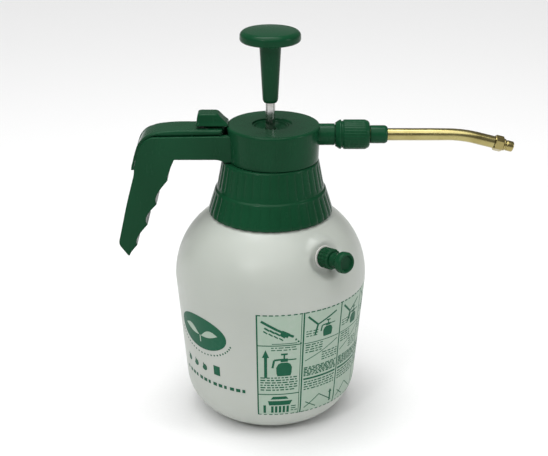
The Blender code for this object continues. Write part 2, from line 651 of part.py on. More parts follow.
def make_lance():
    path = lance_path()
    pipe("lance_tube", "brass", path, TUBE_R, 3.4 * MM, 14)
    on_axis_x("lance_o_ring", "black_rubber", [(4.6, 57.0), (5.75, 57.0), (5.75, 58.4), (4.6, 58.4)])
    on_axis_x("lance_ring", "brass", [(4.6, 62.4), (6.6, 62.4), (6.6, 64.8), (4.6, 64.8)])
    nut = [(7.2, 46.9), (9.6, 46.9), (10.8, 50.0), (10.8, 51.2), (9.9, 51.6), (9.9, 52.6), (10.8, 53.0)]
    nut += [(10.8, 69.2), (10.2, 70.9), (8.8, 71.8), (4.8, 71.8), (4.8, 65.3), (7.2, 65.3)]
    sides = 28
    bm = turned_mesh(scaled(nut), sides)
    for vert in bm.verts:
        radius = hypot(vert.co.x, vert.co.y)
        if side_of(vert, sides) % 2 and radius > 10.7 * MM and vert.co.z > 52.8 * MM:
            vert.co.xy *= (radius - NUT_FLUTE) / radius
    finish(bm, "lance_nut", "green_plastic", (0, 0, LANCE_Z), along((1, 0, 0)))
    sleeve = [(4.6, 72.1), (6.4, 72.1), (6.6, 72.4), (6.6, 83.4), (5.6, 84.8), (4.6, 84.8)]
    on_axis_x("lance_sleeve", "green_plastic", sleeve)

    end = path[-1]
    turn = along(tip_direction())
    body = [(3.5, 0.3), (6.0, 0.3), (6.0, 7.0), (3.5, 7.0)]
    body = turned("nozzle_body", "brass", scaled(body), 6, True, end, turn)
    shank = scaled([(2.0, 5.0), (2.9, 5.0), (2.9, 11.6), (2.0, 11.6)])
    shank = turned("shank", None, shank, 16, True, end, turn)
    floor = scaled([(2.0, 5.0), (5.0, 5.0), (5.0, 6.9), (2.0, 6.9)])
    floor = turned("floor", None, floor, 16, True, end, turn)
    join(body, floor, shank)
    tip = [(3.2, 7.3), (4.3, 7.3), (4.3, 8.6), (3.75, 9.0), (3.75, 14.0), (3.3, 14.8), (0.6, 14.8)]
    tip += [(0.6, 13.2), (3.2, 13.2)]
    turned("nozzle_tip", "brass", scaled(tip), SMALL, True, end, turn)
    core = [(0, 5.4), (1.7, 5.4), (1.7, 12.0), (1.0, 12.8), (0, 12.8)]
    turned("swirl_core", "brass", scaled(core), 14, False, end, turn)
    ring = scaled([(2.2, 11.9), (3.0, 11.9), (3.0, 12.7), (2.2, 12.7)])
    turned("nozzle_o_ring", "black_rubber", ring, 14, True, end, turn)


clear_scene()
make_bottle()
make_relief_valve()
make_collar()
make_head()
make_arm_cover()
make_thumb_lever()
make_valve()
make_delivery_tube()
make_pump()
make_dip_tube()
make_lance()
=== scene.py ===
"""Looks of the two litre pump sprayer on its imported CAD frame. Metres, +Z up, the lance along +X."""

import json
import random
from math import ceil, cos, hypot, pi, radians, sin, sqrt

import bmesh
import bpy
from mathutils import Matrix, Vector


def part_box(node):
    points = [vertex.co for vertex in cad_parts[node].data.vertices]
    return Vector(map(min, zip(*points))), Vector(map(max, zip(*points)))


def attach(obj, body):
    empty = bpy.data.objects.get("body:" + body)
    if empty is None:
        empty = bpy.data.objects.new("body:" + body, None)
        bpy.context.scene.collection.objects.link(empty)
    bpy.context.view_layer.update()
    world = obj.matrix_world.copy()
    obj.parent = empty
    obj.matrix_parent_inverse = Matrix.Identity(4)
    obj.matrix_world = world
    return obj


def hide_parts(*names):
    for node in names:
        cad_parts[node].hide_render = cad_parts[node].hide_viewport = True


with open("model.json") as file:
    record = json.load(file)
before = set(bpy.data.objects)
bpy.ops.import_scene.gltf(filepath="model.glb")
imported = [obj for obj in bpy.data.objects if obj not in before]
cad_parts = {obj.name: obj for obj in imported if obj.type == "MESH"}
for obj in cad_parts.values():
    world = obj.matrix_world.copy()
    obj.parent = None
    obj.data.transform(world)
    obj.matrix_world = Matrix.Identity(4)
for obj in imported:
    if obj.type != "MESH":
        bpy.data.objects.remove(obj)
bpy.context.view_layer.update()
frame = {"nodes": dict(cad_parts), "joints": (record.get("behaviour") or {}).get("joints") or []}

MM = 0.001

# Anchors read from the frame
BOTTLE_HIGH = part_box("bottle")[1]
COLLAR_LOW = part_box("collar_nut")[0]
KNOB_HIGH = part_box("plunger_knob")[1]
NUT_LOW, NUT_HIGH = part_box("lance_nut")
TUBE_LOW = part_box("lance_tube")[0]
PIN_LOW, PIN_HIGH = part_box("lever_pin")
JOINTS = {joint["name"]: joint for joint in frame["joints"]}

BOTTLE_R = BOTTLE_HIGH.x
NECK_TOP = BOTTLE_HIGH.z
LANCE_Z = (NUT_LOW.z + NUT_HIGH.z) / 2

# The bottle's outline
BASE_R = 31.6 * MM
CORNER_R = 33.1 * MM
CORNER_END = -0.06
SHOULDER_Z = 111.1 * MM
SHOULDER_RISE = 55.6 * MM
SHOULDER_RUN = 50.3 * MM
NECK_R = 29.0 * MM
WALL = 1.8 * MM
THREAD_PITCH = 4.0 * MM
THREAD_DEPTH = 1.7 * MM
THREAD_LOW_Z = 175.5 * MM
THREAD_HIGH_Z = 185.5 * MM
THREAD_FADE = 2.5 * MM

# The relief valve's axis, from its joint, starting on the bottle's axis
RELIEF_AXIS = Vector(JOINTS["relief_vent"]["axis"]).normalized()
RELIEF_ORIGIN = Vector((0, 0, 134.7 * MM))
DIMPLE_FLOOR = 59.5 * MM
DIMPLE_FLAT_R = 10.8 * MM
DIMPLE_EDGE_R = 16.0 * MM
RELIEF_HOLE_R = 6.3 * MM


# ---------------------------------------------------------------- shapes

def scaled(points):
    return [tuple(value * MM for value in point) for point in points]


def place(bm, name, mat, body, replaced=(), turn=None, crisp=35, weighted=False):
    """Makes a piece from a bmesh in the row frame, with what it rides on and what it replaces."""
    if turn is not None:
        bmesh.ops.transform(bm, matrix=turn, verts=bm.verts)
    bmesh.ops.recalc_face_normals(bm, faces=bm.faces)
    mesh = bpy.data.meshes.new(name)
    bm.to_mesh(mesh)
    bm.free()
    mesh.shade_smooth()
    mesh.set_sharp_from_angle(angle=radians(crisp))
    piece = bpy.data.objects.new(name, mesh)
    bpy.context.scene.collection.objects.link(piece)
    if mat is not None:
        mesh.materials.append(mat)
    if weighted:
        weight_normals(piece)
    if body:
        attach(piece, body)
        if replaced:
            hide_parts(*replaced)
    return piece


def weight_normals(piece):
    """Keeps large flat faces flat in shading next to their rounded edges."""
    weighted = piece.modifiers.new("flat_faces", "WEIGHTED_NORMAL")
    weighted.keep_sharp = True
    weighted.weight = 80


def along(direction, start=(0, 0, 0)):
    """Takes +Z to the direction and the origin to start."""
    return Matrix.Translation(start) @ Vector(direction).to_track_quat("Z", "Y").to_matrix().to_4x4()


def fillet(points, steps=4):
    """Rounds the corners of an open outline of (a, b) or (a, b, radius) points."""
    done = [Vector(points[0][:2])]
    for before, here, after in zip(points, points[1:], points[2:]):
        corner = Vector(here[:2])
        if len(here) < 3 or here[2] <= 0:
            done.append(corner)
            continue
        back = Vector(before[:2]) - corner
        ahead = Vector(after[:2]) - corner
        reach = min(here[2], 0.45 * back.length, 0.45 * ahead.length)
        first = corner + back.normalized() * reach
        last = corner + ahead.normalized() * reach
        for step in range(steps + 1):
            t = step / steps
            done.append(first * (1 - t) ** 2 + corner * (2 * t * (1 - t)) + last * t ** 2)
    done.append(Vector(points[-1][:2]))
    return [(point.x, point.y) for point in done]


def rounded_ring(points, steps=4):
    """Rounds the corners of a closed outline."""
    count = len(points)
    done = []
    for index, here in enumerate(points):
        corner_piece = fillet([points[index - 1], here, points[(index + 1) % count]], steps)
        done += corner_piece[1:-1]
    return done


def lathe(profile, sides, closed=False, shape=None):
    """Turns a profile of (radius, height) about Z. shape(angle, radius, height) may move a point's radius."""
    bm = bmesh.new()
    rings = []
    for radius, height in profile:
        if radius < 0.02 * MM:
            rings.append([bm.verts.new((0, 0, height))])
            continue
        ring = []
        for side in range(sides):
            angle = 2 * pi * side / sides
            r = shape(angle, radius, height) if shape else radius
            ring.append(bm.verts.new((r * cos(angle), r * sin(angle), height)))
        rings.append(ring)
    pairs = list(zip(rings, rings[1:]))
    if closed:
        pairs.append((rings[-1], rings[0]))
    for low, high in pairs:
        for side in range(sides):
            after = (side + 1) % sides
            if len(low) == 1 and len(high) == 1:
                continue
            if len(low) == 1:
                bm.faces.new((low[0], high[after], high[side]))
            elif len(high) == 1:
                bm.faces.new((low[side], low[after], high[0]))
            else:
                bm.faces.new((low[side], low[after], high[after], high[side]))
    return bm


def inward(outline):
    """Unit vectors pointing into an anticlockwise or clockwise outline at each of its points."""
    count = len(outline)
    area = sum(
        outline[i][0] * outline[(i + 1) % count][1] - outline[(i + 1) % count][0] * outline[i][1]
        for i in range(count)
    )
    sign = 1 if area > 0 else -1
    vectors = []
    for i in range(count):
        before = (Vector(outline[i]) - Vector(outline[i - 1])).normalized()
        after = (Vector(outline[(i + 1) % count]) - Vector(outline[i])).normalized()
        normal = Vector((-(before.y + after.y), before.x + after.x)) * sign
        vectors.append(normal.normalized() / max(0.5, (normal.length / 2)))
    return vectors


def soft_prism(outline, half, radius, steps=5):
    """An (x, z) outline extruded to y = -half and +half, with its two rims rounded to the radius."""
    bm = bmesh.new()
    normals = inward(outline)
    levels = []
    for step in range(steps + 1):
        angle = pi / 2 * step / steps
        levels.append((half - radius + radius * sin(angle), radius * (1 - cos(angle))))
    levels = [(-y, inset) for y, inset in reversed(levels)] + levels
    rings = []
    for y, inset in levels:
        rings.append(
            [bm.verts.new((x + n.x * inset, y, z + n.y * inset)) for (x, z), n in zip(outline, normals)]
        )
    count = len(outline)
    for low, high in zip(rings, rings[1:]):
        for i in range(count):
            after = (i + 1) % count
            bm.faces.new((low[i], low[after], high[after], high[i]))
    bm.faces.new(rings[0])
    bm.faces.new(rings[-1])
    bmesh.ops.recalc_face_normals(bm, faces=bm.faces)
    return bm


def temporary(bm, turn=None):
    """A helper object for a Boolean."""
    return place(bm, "helper", None, None, turn=turn)


def boolean(bm, others, operation):
    """The exact Boolean of a bmesh with (bmesh, turn) pairs, as a new bmesh."""
    base = temporary(bm)
    cutters = [temporary(other, turn) for other, turn in others]
    for cutter in cutters:
        modifier = base.modifiers.new("cut", "BOOLEAN")
        modifier.operation = operation
        modifier.object = cutter
        modifier.solver = "EXACT"
    bpy.context.view_layer.update()
    graph = bpy.context.evaluated_depsgraph_get()
    mesh = bpy.data.meshes.new_from_object(base.evaluated_get(graph))
    result = bmesh.new()
    result.from_mesh(mesh)
    bpy.data.meshes.remove(mesh)
    for obj in [base] + cutters:
        bpy.data.objects.remove(obj, do_unlink=True)
    bmesh.ops.remove_doubles(result, verts=result.verts, dist=0.002 * MM)
    bmesh.ops.dissolve_degenerate(result, edges=result.edges, dist=0.002 * MM)
    return result


def bar(radius, low, high, sides=48):
    return lathe([(0, low), (radius, low), (radius, high), (0, high)], sides)


def brick(low, high, bevel=0.0):
    low, high = Vector(low), Vector(high)
    size = high - low
    bm = bmesh.new()
    where = Matrix.Translation(low + size / 2) @ Matrix.Diagonal(size).to_4x4()
    bmesh.ops.create_cube(bm, size=1.0, matrix=where)
    if bevel:
        bmesh.ops.bevel(bm, geom=bm.edges, offset=bevel, segments=3, profile=0.5, affect="EDGES")
    return bm


# ---------------------------------------------------------------- materials

class Surface:
    """A small helper for a procedural material around one Principled shader."""

    def __init__(self, name, roughness, **fixed):
        self.mat = bpy.data.materials.new(name)
        self.mat.use_nodes = True
        self.tree = self.mat.node_tree
        self.shader = self.tree.nodes["Principled BSDF"]
        self.shader.inputs["Roughness"].default_value = roughness
        for socket, value in fixed.items():
            self.shader.inputs[socket.replace("_", " ")].default_value = value
        self.coords = self.node("ShaderNodeTexCoord").outputs["Object"]

    def node(self, kind, **settings):
        node = self.tree.nodes.new(kind)
        for key, value in settings.items():
            setattr(node, key, value)
        return node

    def link(self, source, target):
        self.tree.links.new(source, target)

    def noise(self, scale, detail=4.0, rough=0.55, stretch=(1, 1, 1)):
        """Fractal noise in the row frame; scale is in features per metre."""
        mapping = self.node("ShaderNodeMapping")
        mapping.inputs["Scale"].default_value = stretch
        self.link(self.coords, mapping.inputs["Vector"])
        noise = self.node("ShaderNodeTexNoise")
        noise.inputs["Scale"].default_value = scale
        noise.inputs["Detail"].default_value = detail
        noise.inputs["Roughness"].default_value = rough
        self.link(mapping.outputs["Vector"], noise.inputs["Vector"])
        return noise.outputs["Fac"]

    def ramp(self, source, low, high, low_value, high_value):
        """Maps low..high of a number to low_value..high_value, clamped."""
        ramp = self.node("ShaderNodeMapRange")
        ramp.inputs["From Min"].default_value = low
        ramp.inputs["From Max"].default_value = high
        ramp.inputs["To Min"].default_value = low_value
        ramp.inputs["To Max"].default_value = high_value
        self.link(source, ramp.inputs["Value"])
        return ramp.outputs["Result"]

    def mix(self, factor, first, second):
        """Mixes two colours, each a tuple or a socket."""
        mix = self.node("ShaderNodeMix", data_type="RGBA")
        self.link(factor, mix.inputs["Factor"])
        for key, value in (("A", first), ("B", second)):
            socket = [s for s in mix.inputs if s.name == key and s.type == "RGBA"][0]
            if isinstance(value, tuple):
                socket.default_value = (*value, 1.0)
            else:
                self.link(value, socket)
        return [s for s in mix.outputs if s.type == "RGBA"][0]

    def math(self, operation, first, second):
        node = self.node("ShaderNodeMath", operation=operation)
        for socket, value in zip(node.inputs, (first, second)):
            if isinstance(value, (int, float)):
                socket.default_value = value
            else:
                self.link(value, socket)
        return node.outputs["Value"]

    def colour(self, socket):
        self.link(socket, self.shader.inputs["Base Color"])

    def roughness(self, socket):
        self.link(socket, self.shader.inputs["Roughness"])

    def bump(self, *layers):
        """layers of (height socket, distance in metres)."""
        normal = None
        for height, distance in layers:
            bump = self.node("ShaderNodeBump")
            bump.inputs["Strength"].default_value = 1.0
            bump.inputs["Distance"].default_value = distance
            self.link(height, bump.inputs["Height"])
            if normal:
                self.link(normal, bump.inputs["Normal"])
            normal = bump.outputs["Normal"]
        self.link(normal, self.shader.inputs["Normal"])


def green_plastic(name="green_plastic", gloss=0.2):
    """Glossy injection moulded green: faint flow marks, orange peel, fine scuffs and a little dust."""
    s = Surface(name, gloss, Specular_IOR_Level=0.09, IOR=1.5)
    flow = s.noise(28, 3, 0.5, (1, 1, 0.4))
    dust = s.noise(900, 5, 0.7)
    tone = s.mix(s.ramp(flow, 0.3, 0.7, 0, 1), (0.0048, 0.043, 0.017), (0.0068, 0.058, 0.024))
    tone = s.mix(s.ramp(dust, 0.62, 0.8, 0, 0.2), tone, (0.02, 0.08, 0.045))
    s.colour(tone)
    scuff = s.noise(260, 6, 0.75, (1, 1, 0.25))
    patches = s.noise(45, 2, 0.5)
    scuffed = s.ramp(scuff, 0.5, 0.78, 0, 0.16)
    uneven = s.ramp(patches, 0.3, 0.7, gloss - 0.04, gloss + 0.06)
    s.roughness(s.math("ADD", scuffed, uneven))
    s.bump((s.noise(55, 2, 0.5), 0.00010), (s.noise(1500, 2, 0.5), 0.000006))
    return s.mat


def bottle_plastic():
    """Natural blow moulded polyethylene: milky, slightly uneven wall, soft orange peel and rub marks."""
    s = Surface("bottle_plastic", 0.34, Subsurface_Weight=0.25, Subsurface_Scale=0.004, IOR=1.5)
    s.shader.inputs["Subsurface Radius"].default_value = (1.0, 1.0, 0.85)
    wall = s.noise(9, 3, 0.5, (1, 1, 0.6))
    tone = s.mix(s.ramp(wall, 0.3, 0.7, 0, 1), (0.425, 0.455, 0.412), (0.482, 0.508, 0.466))
    grime = s.noise(70, 6, 0.7)
    tone = s.mix(s.ramp(grime, 0.6, 0.85, 0, 0.35), tone, (0.45, 0.47, 0.40))
    s.colour(tone)
    rub = s.noise(180, 6, 0.7, (1, 1, 0.3))
    s.roughness(s.ramp(rub, 0.35, 0.75, 0.28, 0.48))
    s.bump((s.noise(30, 2, 0.5), 0.00018), (s.noise(700, 3, 0.6), 0.00001))
    return s.mat


def ink(name, tone, worn, wear):
    """Screen printed ink with pinholes and uneven density."""
    s = Surface(name, 0.42, Specular_IOR_Level=0.1)
    density = s.noise(320, 4, 0.65)
    blotch = s.noise(60, 3, 0.5)
    pinholes = s.ramp(density, 0.45, 0.75, 0, 1)
    thin_parts = s.ramp(blotch, 0.35, 0.65, wear * 0.4, wear)
    s.colour(s.mix(s.math("MULTIPLY", pinholes, thin_parts), tone, worn))
    s.roughness(s.ramp(density, 0.3, 0.7, 0.34, 0.5))
    s.bump((density, 0.00001))
    return s.mat


def brass(name="brass", tone=(0.42, 0.365, 0.155), deep=(0.28, 0.23, 0.08)):
    """Drawn brass: fine lines along the tube, slight tarnish and smudges."""
    s = Surface(name, 0.22, Metallic=1.0)
    tarnish = s.noise(55, 5, 0.6)
    s.colour(s.mix(s.ramp(tarnish, 0.45, 0.75, 0, 0.9), tone, deep))
    lines = s.noise(900, 3, 0.6, (0.05, 1, 1))
    smudge = s.noise(90, 4, 0.6)
    s.roughness(s.math("ADD", s.ramp(lines, 0.3, 0.7, 0.10, 0.20), s.ramp(smudge, 0.4, 0.7, 0.02, 0.14)))
    s.bump((lines, 0.000006), (s.noise(70, 2, 0.5), 0.00005))
    return s.mat


def steel():
    """Ground steel rod with faint turning lines and a film of grease."""
    s = Surface("steel", 0.2, Metallic=1.0)
    lines = s.noise(1400, 2, 0.5, (0.4, 0.4, 1))
    film = s.noise(60, 4, 0.6)
    s.colour(s.mix(s.ramp(film, 0.4, 0.75, 0, 1), (0.56, 0.56, 0.55), (0.38, 0.36, 0.33)))
    s.roughness(s.math("ADD", s.ramp(lines, 0.3, 0.7, 0.10, 0.22), s.ramp(film, 0.4, 0.7, 0.0, 0.12)))
    s.bump((lines, 0.000004))
    return s.mat


def rubber():
    s = Surface("rubber", 0.65)
    bloom = s.noise(240, 5, 0.65)
    s.colour(s.mix(s.ramp(bloom, 0.45, 0.75, 0, 1), (0.014, 0.014, 0.014), (0.04, 0.04, 0.042)))
    s.roughness(s.ramp(bloom, 0.3, 0.7, 0.5, 0.8))
    s.bump((s.noise(1200, 4, 0.6), 0.00002))
    return s.mat


def white_plastic():
    s = Surface("white_plastic", 0.4)
    shade = s.noise(60, 4, 0.6)
    s.colour(s.mix(s.ramp(shade, 0.35, 0.7, 0, 1), (0.74, 0.74, 0.70), (0.62, 0.62, 0.57)))
    s.roughness(s.ramp(s.noise(200, 4, 0.6), 0.3, 0.7, 0.32, 0.5))
    s.bump((s.noise(500, 3, 0.6), 0.00002))
    return s.mat


def floor_paper():
    s = Surface("floor_paper", 0.9)
    grain = s.noise(400, 4, 0.6)
    s.colour(s.mix(s.ramp(grain, 0.3, 0.7, 0, 1), (0.86, 0.86, 0.86), (0.88, 0.88, 0.88)))
    s.roughness(s.ramp(grain, 0.3, 0.7, 0.85, 0.95))
    return s.mat


GREEN = green_plastic()
HDPE = bottle_plastic()
BRASS = brass()
BRASS_DULL = brass("brass_dull", (0.36, 0.30, 0.12), (0.19, 0.145, 0.055))
STEEL = steel()
RUBBER = rubber()
WHITE = white_plastic()
INK = ink("ink_dark", (0.012, 0.098, 0.052), (0.045, 0.16, 0.10), 0.28)
TINT = ink("ink_tint", (0.36, 0.46, 0.375), (0.43, 0.48, 0.43), 0.9)


# ---------------------------------------------------------------- bottle

def arc(centre_r, centre_z, run, rise, start, end, steps):
    points = []
    for step in range(steps + 1):
        angle = start + (end - start) * step / steps
        points.append((centre_r + run * cos(angle), centre_z + rise * sin(angle)))
    return points


def wall_outline(inset, fine):
    """The bottle's wall from the base's flat to the neck's foot, moved inwards by inset."""
    neck = NECK_R - inset
    bottom = arc(BASE_R, CORNER_R, CORNER_R - inset, CORNER_R - inset, -pi / 2, CORNER_END, fine)
    run, rise = SHOULDER_RUN - inset, SHOULDER_RISE - inset
    shoulder = arc(BOTTLE_R - SHOULDER_RUN, SHOULDER_Z, run, rise, 0, pi / 2 - 0.12, 2 * fine)
    shoulder = [(r, z) for r, z in shoulder if r > neck + 1.6 * MM]
    low, high = bottom[-1], shoulder[0]
    side_steps = 3 * fine
    side = [
        (low[0] + (high[0] - low[0]) * i / side_steps, low[1] + (high[1] - low[1]) * i / side_steps)
        for i in range(1, side_steps)
    ]
    foot_z = shoulder[-1][1]
    foot = [(neck + 0.6 * MM, foot_z + 0.6 * MM), (neck, foot_z + 1.6 * MM)]
    return bottom + side + shoulder + foot


def thread_height(angle, height):
    """How far the neck's helical ridge stands out."""
    phase = ((height - 175 * MM) / THREAD_PITCH - angle / (2 * pi)) % 1.0
    ridge = max(0.0, 1 - abs(phase - 0.5) / 0.24)
    start = max(0.0, (height - THREAD_LOW_Z) / THREAD_FADE)
    end = max(0.0, (THREAD_HIGH_Z - height) / THREAD_FADE)
    return THREAD_DEPTH * min(1.0, 1.8 * ridge) * min(1.0, start, end)


def press_dimple(bm):
    """Forms the flat round seat for the relief valve out of the shoulder, with soft edges, in both skins."""
    for vert in bm.verts:
        offset = vert.co - RELIEF_ORIGIN
        out = offset.dot(RELIEF_AXIS)
        if out < 30 * MM:
            continue
        aside = (offset - RELIEF_AXIS * out).length
        if aside > DIMPLE_EDGE_R:
            continue
        radius = hypot(vert.co.x, vert.co.y)
        inner = vert.co.z < SHOULDER_Z + SHOULDER_RISE and wall_depth(radius, vert.co.z) > WALL / 2
        floor = DIMPLE_FLOOR - (WALL if inner else 0)
        t = max(0.0, (aside - DIMPLE_FLAT_R) / (DIMPLE_EDGE_R - DIMPLE_FLAT_R))
        keep = t * t * (3 - 2 * t)
        vert.co += RELIEF_AXIS * (floor - out) * (1 - keep)


def wall_depth(radius, height):
    """Roughly how far a point lies inside the bottle's outer skin on the shoulder and the upper side."""
    if height > SHOULDER_Z:
        across = (height - SHOULDER_Z) / SHOULDER_RISE
        return BOTTLE_R - SHOULDER_RUN + SHOULDER_RUN * sqrt(max(0.0, 1 - across * across)) - radius
    return side_radius(height) - radius


def side_radius(height):
    """The bottle's outer radius at a height below the shoulder."""
    foot_z = CORNER_R + CORNER_R * sin(CORNER_END)
    if height < foot_z:
        return BASE_R + sqrt(max(0.0, CORNER_R ** 2 - (CORNER_R - height) ** 2))
    if height < SHOULDER_Z:
        foot = BASE_R + CORNER_R * cos(CORNER_END)
        return foot + (BOTTLE_R - foot) * (height - foot_z) / (SHOULDER_Z - foot_z)
    across = (height - SHOULDER_Z) / SHOULDER_RISE
    return BOTTLE_R - SHOULDER_RUN + SHOULDER_RUN * sqrt(max(0.0, 1 - across * across))


def make_bottle():
    outside = wall_outline(0, 26)
    inside = wall_outline(WALL, 20)
    neck_start = outside[-1][1]
    neck_rise = NECK_TOP - 0.8 * MM - neck_start
    neck_rings = 60
    neck = [(NECK_R, neck_start + neck_rise * i / neck_rings) for i in range(1, neck_rings + 1)]
    bore = NECK_R - 2.5 * MM
    edge = 0.6 * MM
    lip = [(NECK_R, NECK_TOP, edge), (bore, NECK_TOP, edge), (bore, NECK_TOP - 3 * MM)]
    rim = fillet([neck[-1]] + lip, 4)[1:]
    kick = 1.1 * MM
    base = fillet([(0, kick), (25 * MM, kick, 2 * MM), (27.5 * MM, 0, 2 * MM), (BASE_R, 0)], 5)
    profile = base[:-1] + outside + neck + rim + [(bore, inside[-1][1])] + inside[::-1]
    profile += [(24 * MM, WALL + kick), (0, WALL + kick)]

    def shape(angle, radius, height):
        if radius > NECK_R - 0.1 * MM and height > 172 * MM:
            return radius + thread_height(angle, height)
        return radius

    bm = lathe(profile, 240, shape=shape)
    press_dimple(bm)
    hole = bar(RELIEF_HOLE_R, 50 * MM, 70 * MM, 40)
    bm = boolean(bm, [(hole, along(RELIEF_AXIS, RELIEF_ORIGIN))], "DIFFERENCE")
    return place(bm, "bottle_shell", HDPE, "bottle", ["bottle"], crisp=50)


# ---------------------------------------------------------------- print on the bottle

class Print:
    """Thin closed patches of ink that follow the bottle's side. Places are millimetres (round, up)."""

    def __init__(self, left_azimuth, base_height):
        self.bm = bmesh.new()
        self.left = radians(left_azimuth)
        self.base = base_height * MM
        self.layer = 0

    def polygon(self, points, lift=0.05):
        """Adds one patch. Each later patch stands a hair higher, so none lie in the same surface."""
        self.layer = (self.layer + 1) % 12
        top = (lift + 0.003 * self.layer) * MM
        bottom = (lift - 0.03) * MM
        flat = bmesh.new()
        face = flat.faces.new([flat.verts.new((u * MM, v * MM, bottom)) for u, v in points])
        moved = bmesh.ops.extrude_face_region(flat, geom=[face])["geom"]
        upper = [v for v in moved if isinstance(v, bmesh.types.BMVert)]
        bmesh.ops.translate(flat, verts=upper, vec=(0, 0, top - bottom))
        self.slice(flat, 0, 1.6 * MM)
        self.slice(flat, 1, 2.0 * MM)
        bmesh.ops.recalc_face_normals(flat, faces=flat.faces)
        for vert in flat.verts:
            vert.co = self.on_bottle(*vert.co)
        mesh = bpy.data.meshes.new("patch")
        flat.to_mesh(mesh)
        self.bm.from_mesh(mesh)
        bpy.data.meshes.remove(mesh)
        flat.free()

    @staticmethod
    def slice(flat, axis, pitch):
        """Cuts the patch across at a regular pitch, so that it can bend."""
        values = [vert.co[axis] for vert in flat.verts]
        low, high = min(values), max(values)
        for step in range(int(low / pitch) + 1, ceil(high / pitch)):
            where = step * pitch
            if low < where < high:
                point = Vector((0, 0, 0))
                point[axis] = where
                normal = Vector((0, 0, 0))
                normal[axis] = 1
                geom = flat.verts[:] + flat.edges[:] + flat.faces[:]
                bmesh.ops.bisect_plane(flat, geom=geom, dist=1e-7, plane_co=point, plane_no=normal)

    def on_bottle(self, u, v, lift):
        azimuth = self.left + u / (BOTTLE_R * 0.95)
        height = self.base + v
        radius = side_radius(height)
        slope = (side_radius(height + 0.5 * MM) - side_radius(height - 0.5 * MM)) / MM
        normal = Vector((1, 0, -slope)).normalized()
        r = radius + lift * normal.x
        return Vector((r * sin(azimuth), -r * cos(azimuth), height + lift * normal.z))

    def box(self, u0, v0, u1, v1, lift=0.05):
        self.polygon([(u0, v0), (u1, v0), (u1, v1), (u0, v1)], lift)

    def stroke(self, points, width):
        """A polyline of the width, one patch for each stretch."""
        for (u0, v0), (u1, v1) in zip(points, points[1:]):
            length = hypot(u1 - u0, v1 - v0)
            a, b = -(v1 - v0) / length * width / 2, (u1 - u0) / length * width / 2
            self.polygon([(u0 + a, v0 + b), (u0 - a, v0 - b), (u1 - a, v1 - b), (u1 + a, v1 + b)])

    def disc(self, u, v, radius, rise=1.0, sides=20, lift=0.05):
        turns = [2 * pi * side / sides for side in range(sides)]
        self.polygon([(u + radius * cos(a), v + radius * rise * sin(a)) for a in turns], lift)

    def drop(self, u, v, size):
        """A water drop with its point up."""
        sides = 14
        points = [(u, v + 1.6 * size)]
        for side in range(sides + 1):
            a = pi * 0.86 - side / sides * pi * 1.72 - pi / 2 + pi
            points.append((u + size * sin(a), v - size * cos(a) * 0.95))
        self.polygon(points)

    def arrow(self, u, v, height, width):
        head = v + height * 0.72
        self.box(u - width * 0.22, v, u + width * 0.22, head)
        self.polygon([(u - width / 2, head), (u + width / 2, head), (u, v + height)])

    def frame(self, u0, v0, u1, v1, width):
        self.box(u0, v0, u1, v0 + width)
        self.box(u0, v1 - width, u1, v1)
        self.box(u0, v0, u0 + width, v1)
        self.box(u1 - width, v0, u1, v1)

    def lines(self, rng, u0, v0, u1, v1, pitch, height):
        """Rows of short dashes, standing for small print."""
        v = v1 - height
        while v > v0:
            u = u0
            while u < u1 - 1.2:
                run = min(rng.uniform(1.4, 4.2), u1 - u)
                self.box(u, v, u + run, v + height)
                u += run + rng.uniform(0.7, 1.2)
            v -= pitch

    def piece(self, name, mat):
        return place(self.bm, name, mat, "bottle", crisp=20)


def little_sprayer(p, u, v, size):
    """A pictogram of a sprayer, about 10 by 16 units before size."""
    s = size
    body = [(-4, 0), (4, 0), (4.6, 2), (4.8, 6), (3.6, 8.4), (1.8, 9.4)]
    body += [(-a, b) for a, b in reversed(body[2:])]
    p.polygon([(u + a * s, v + b * s) for a, b in body])
    p.box(u - 2.2 * s, v + 9.9 * s, u + 2.2 * s, v + 12.2 * s)
    p.box(u - 0.5 * s, v + 12.2 * s, u + 0.5 * s, v + 14.6 * s)
    p.box(u - 2.0 * s, v + 14.6 * s, u + 2.0 * s, v + 15.8 * s)
    p.box(u + 2.2 * s, v + 10.8 * s, u + 7.4 * s, v + 11.6 * s)
    p.stroke([(u - 2.2 * s, v + 11.6 * s), (u - 6.0 * s, v + 11.2 * s), (u - 7.0 * s, v + 5.8 * s)], 1.3 * s)


def hand_and_lance(p, u, v, size):
    """A pictogram of a nozzle being turned: a slanting lance, finger strokes and drops."""
    s = size
    p.stroke([(u, v + 15 * s), (u + 10 * s, v + 8.6 * s), (u + 20 * s, v + 3.2 * s)], 1.7 * s)
    nozzle = [(13, 8.4), (17.6, 5.8), (16.2, 2.6), (11.4, 5.4)]
    p.polygon([(u + a * s, v + b * s) for a, b in nozzle])
    for step in range(4):
        a = u + (2.0 + 3.2 * step) * s
        b = v + (10.4 - 1.7 * step) * s
        p.stroke([(a, b), (a + 3.0 * s, b - 2.2 * s)], 1.25 * s)
        p.stroke([(a - 0.6 * s, b - 2.4 * s), (a + 1.8 * s, b - 4.2 * s)], 0.9 * s)
    for step in range(3):
        p.drop(u + (21.5 + 1.6 * step) * s, v + (1.0 - 1.6 * step) * s, 0.7 * s)


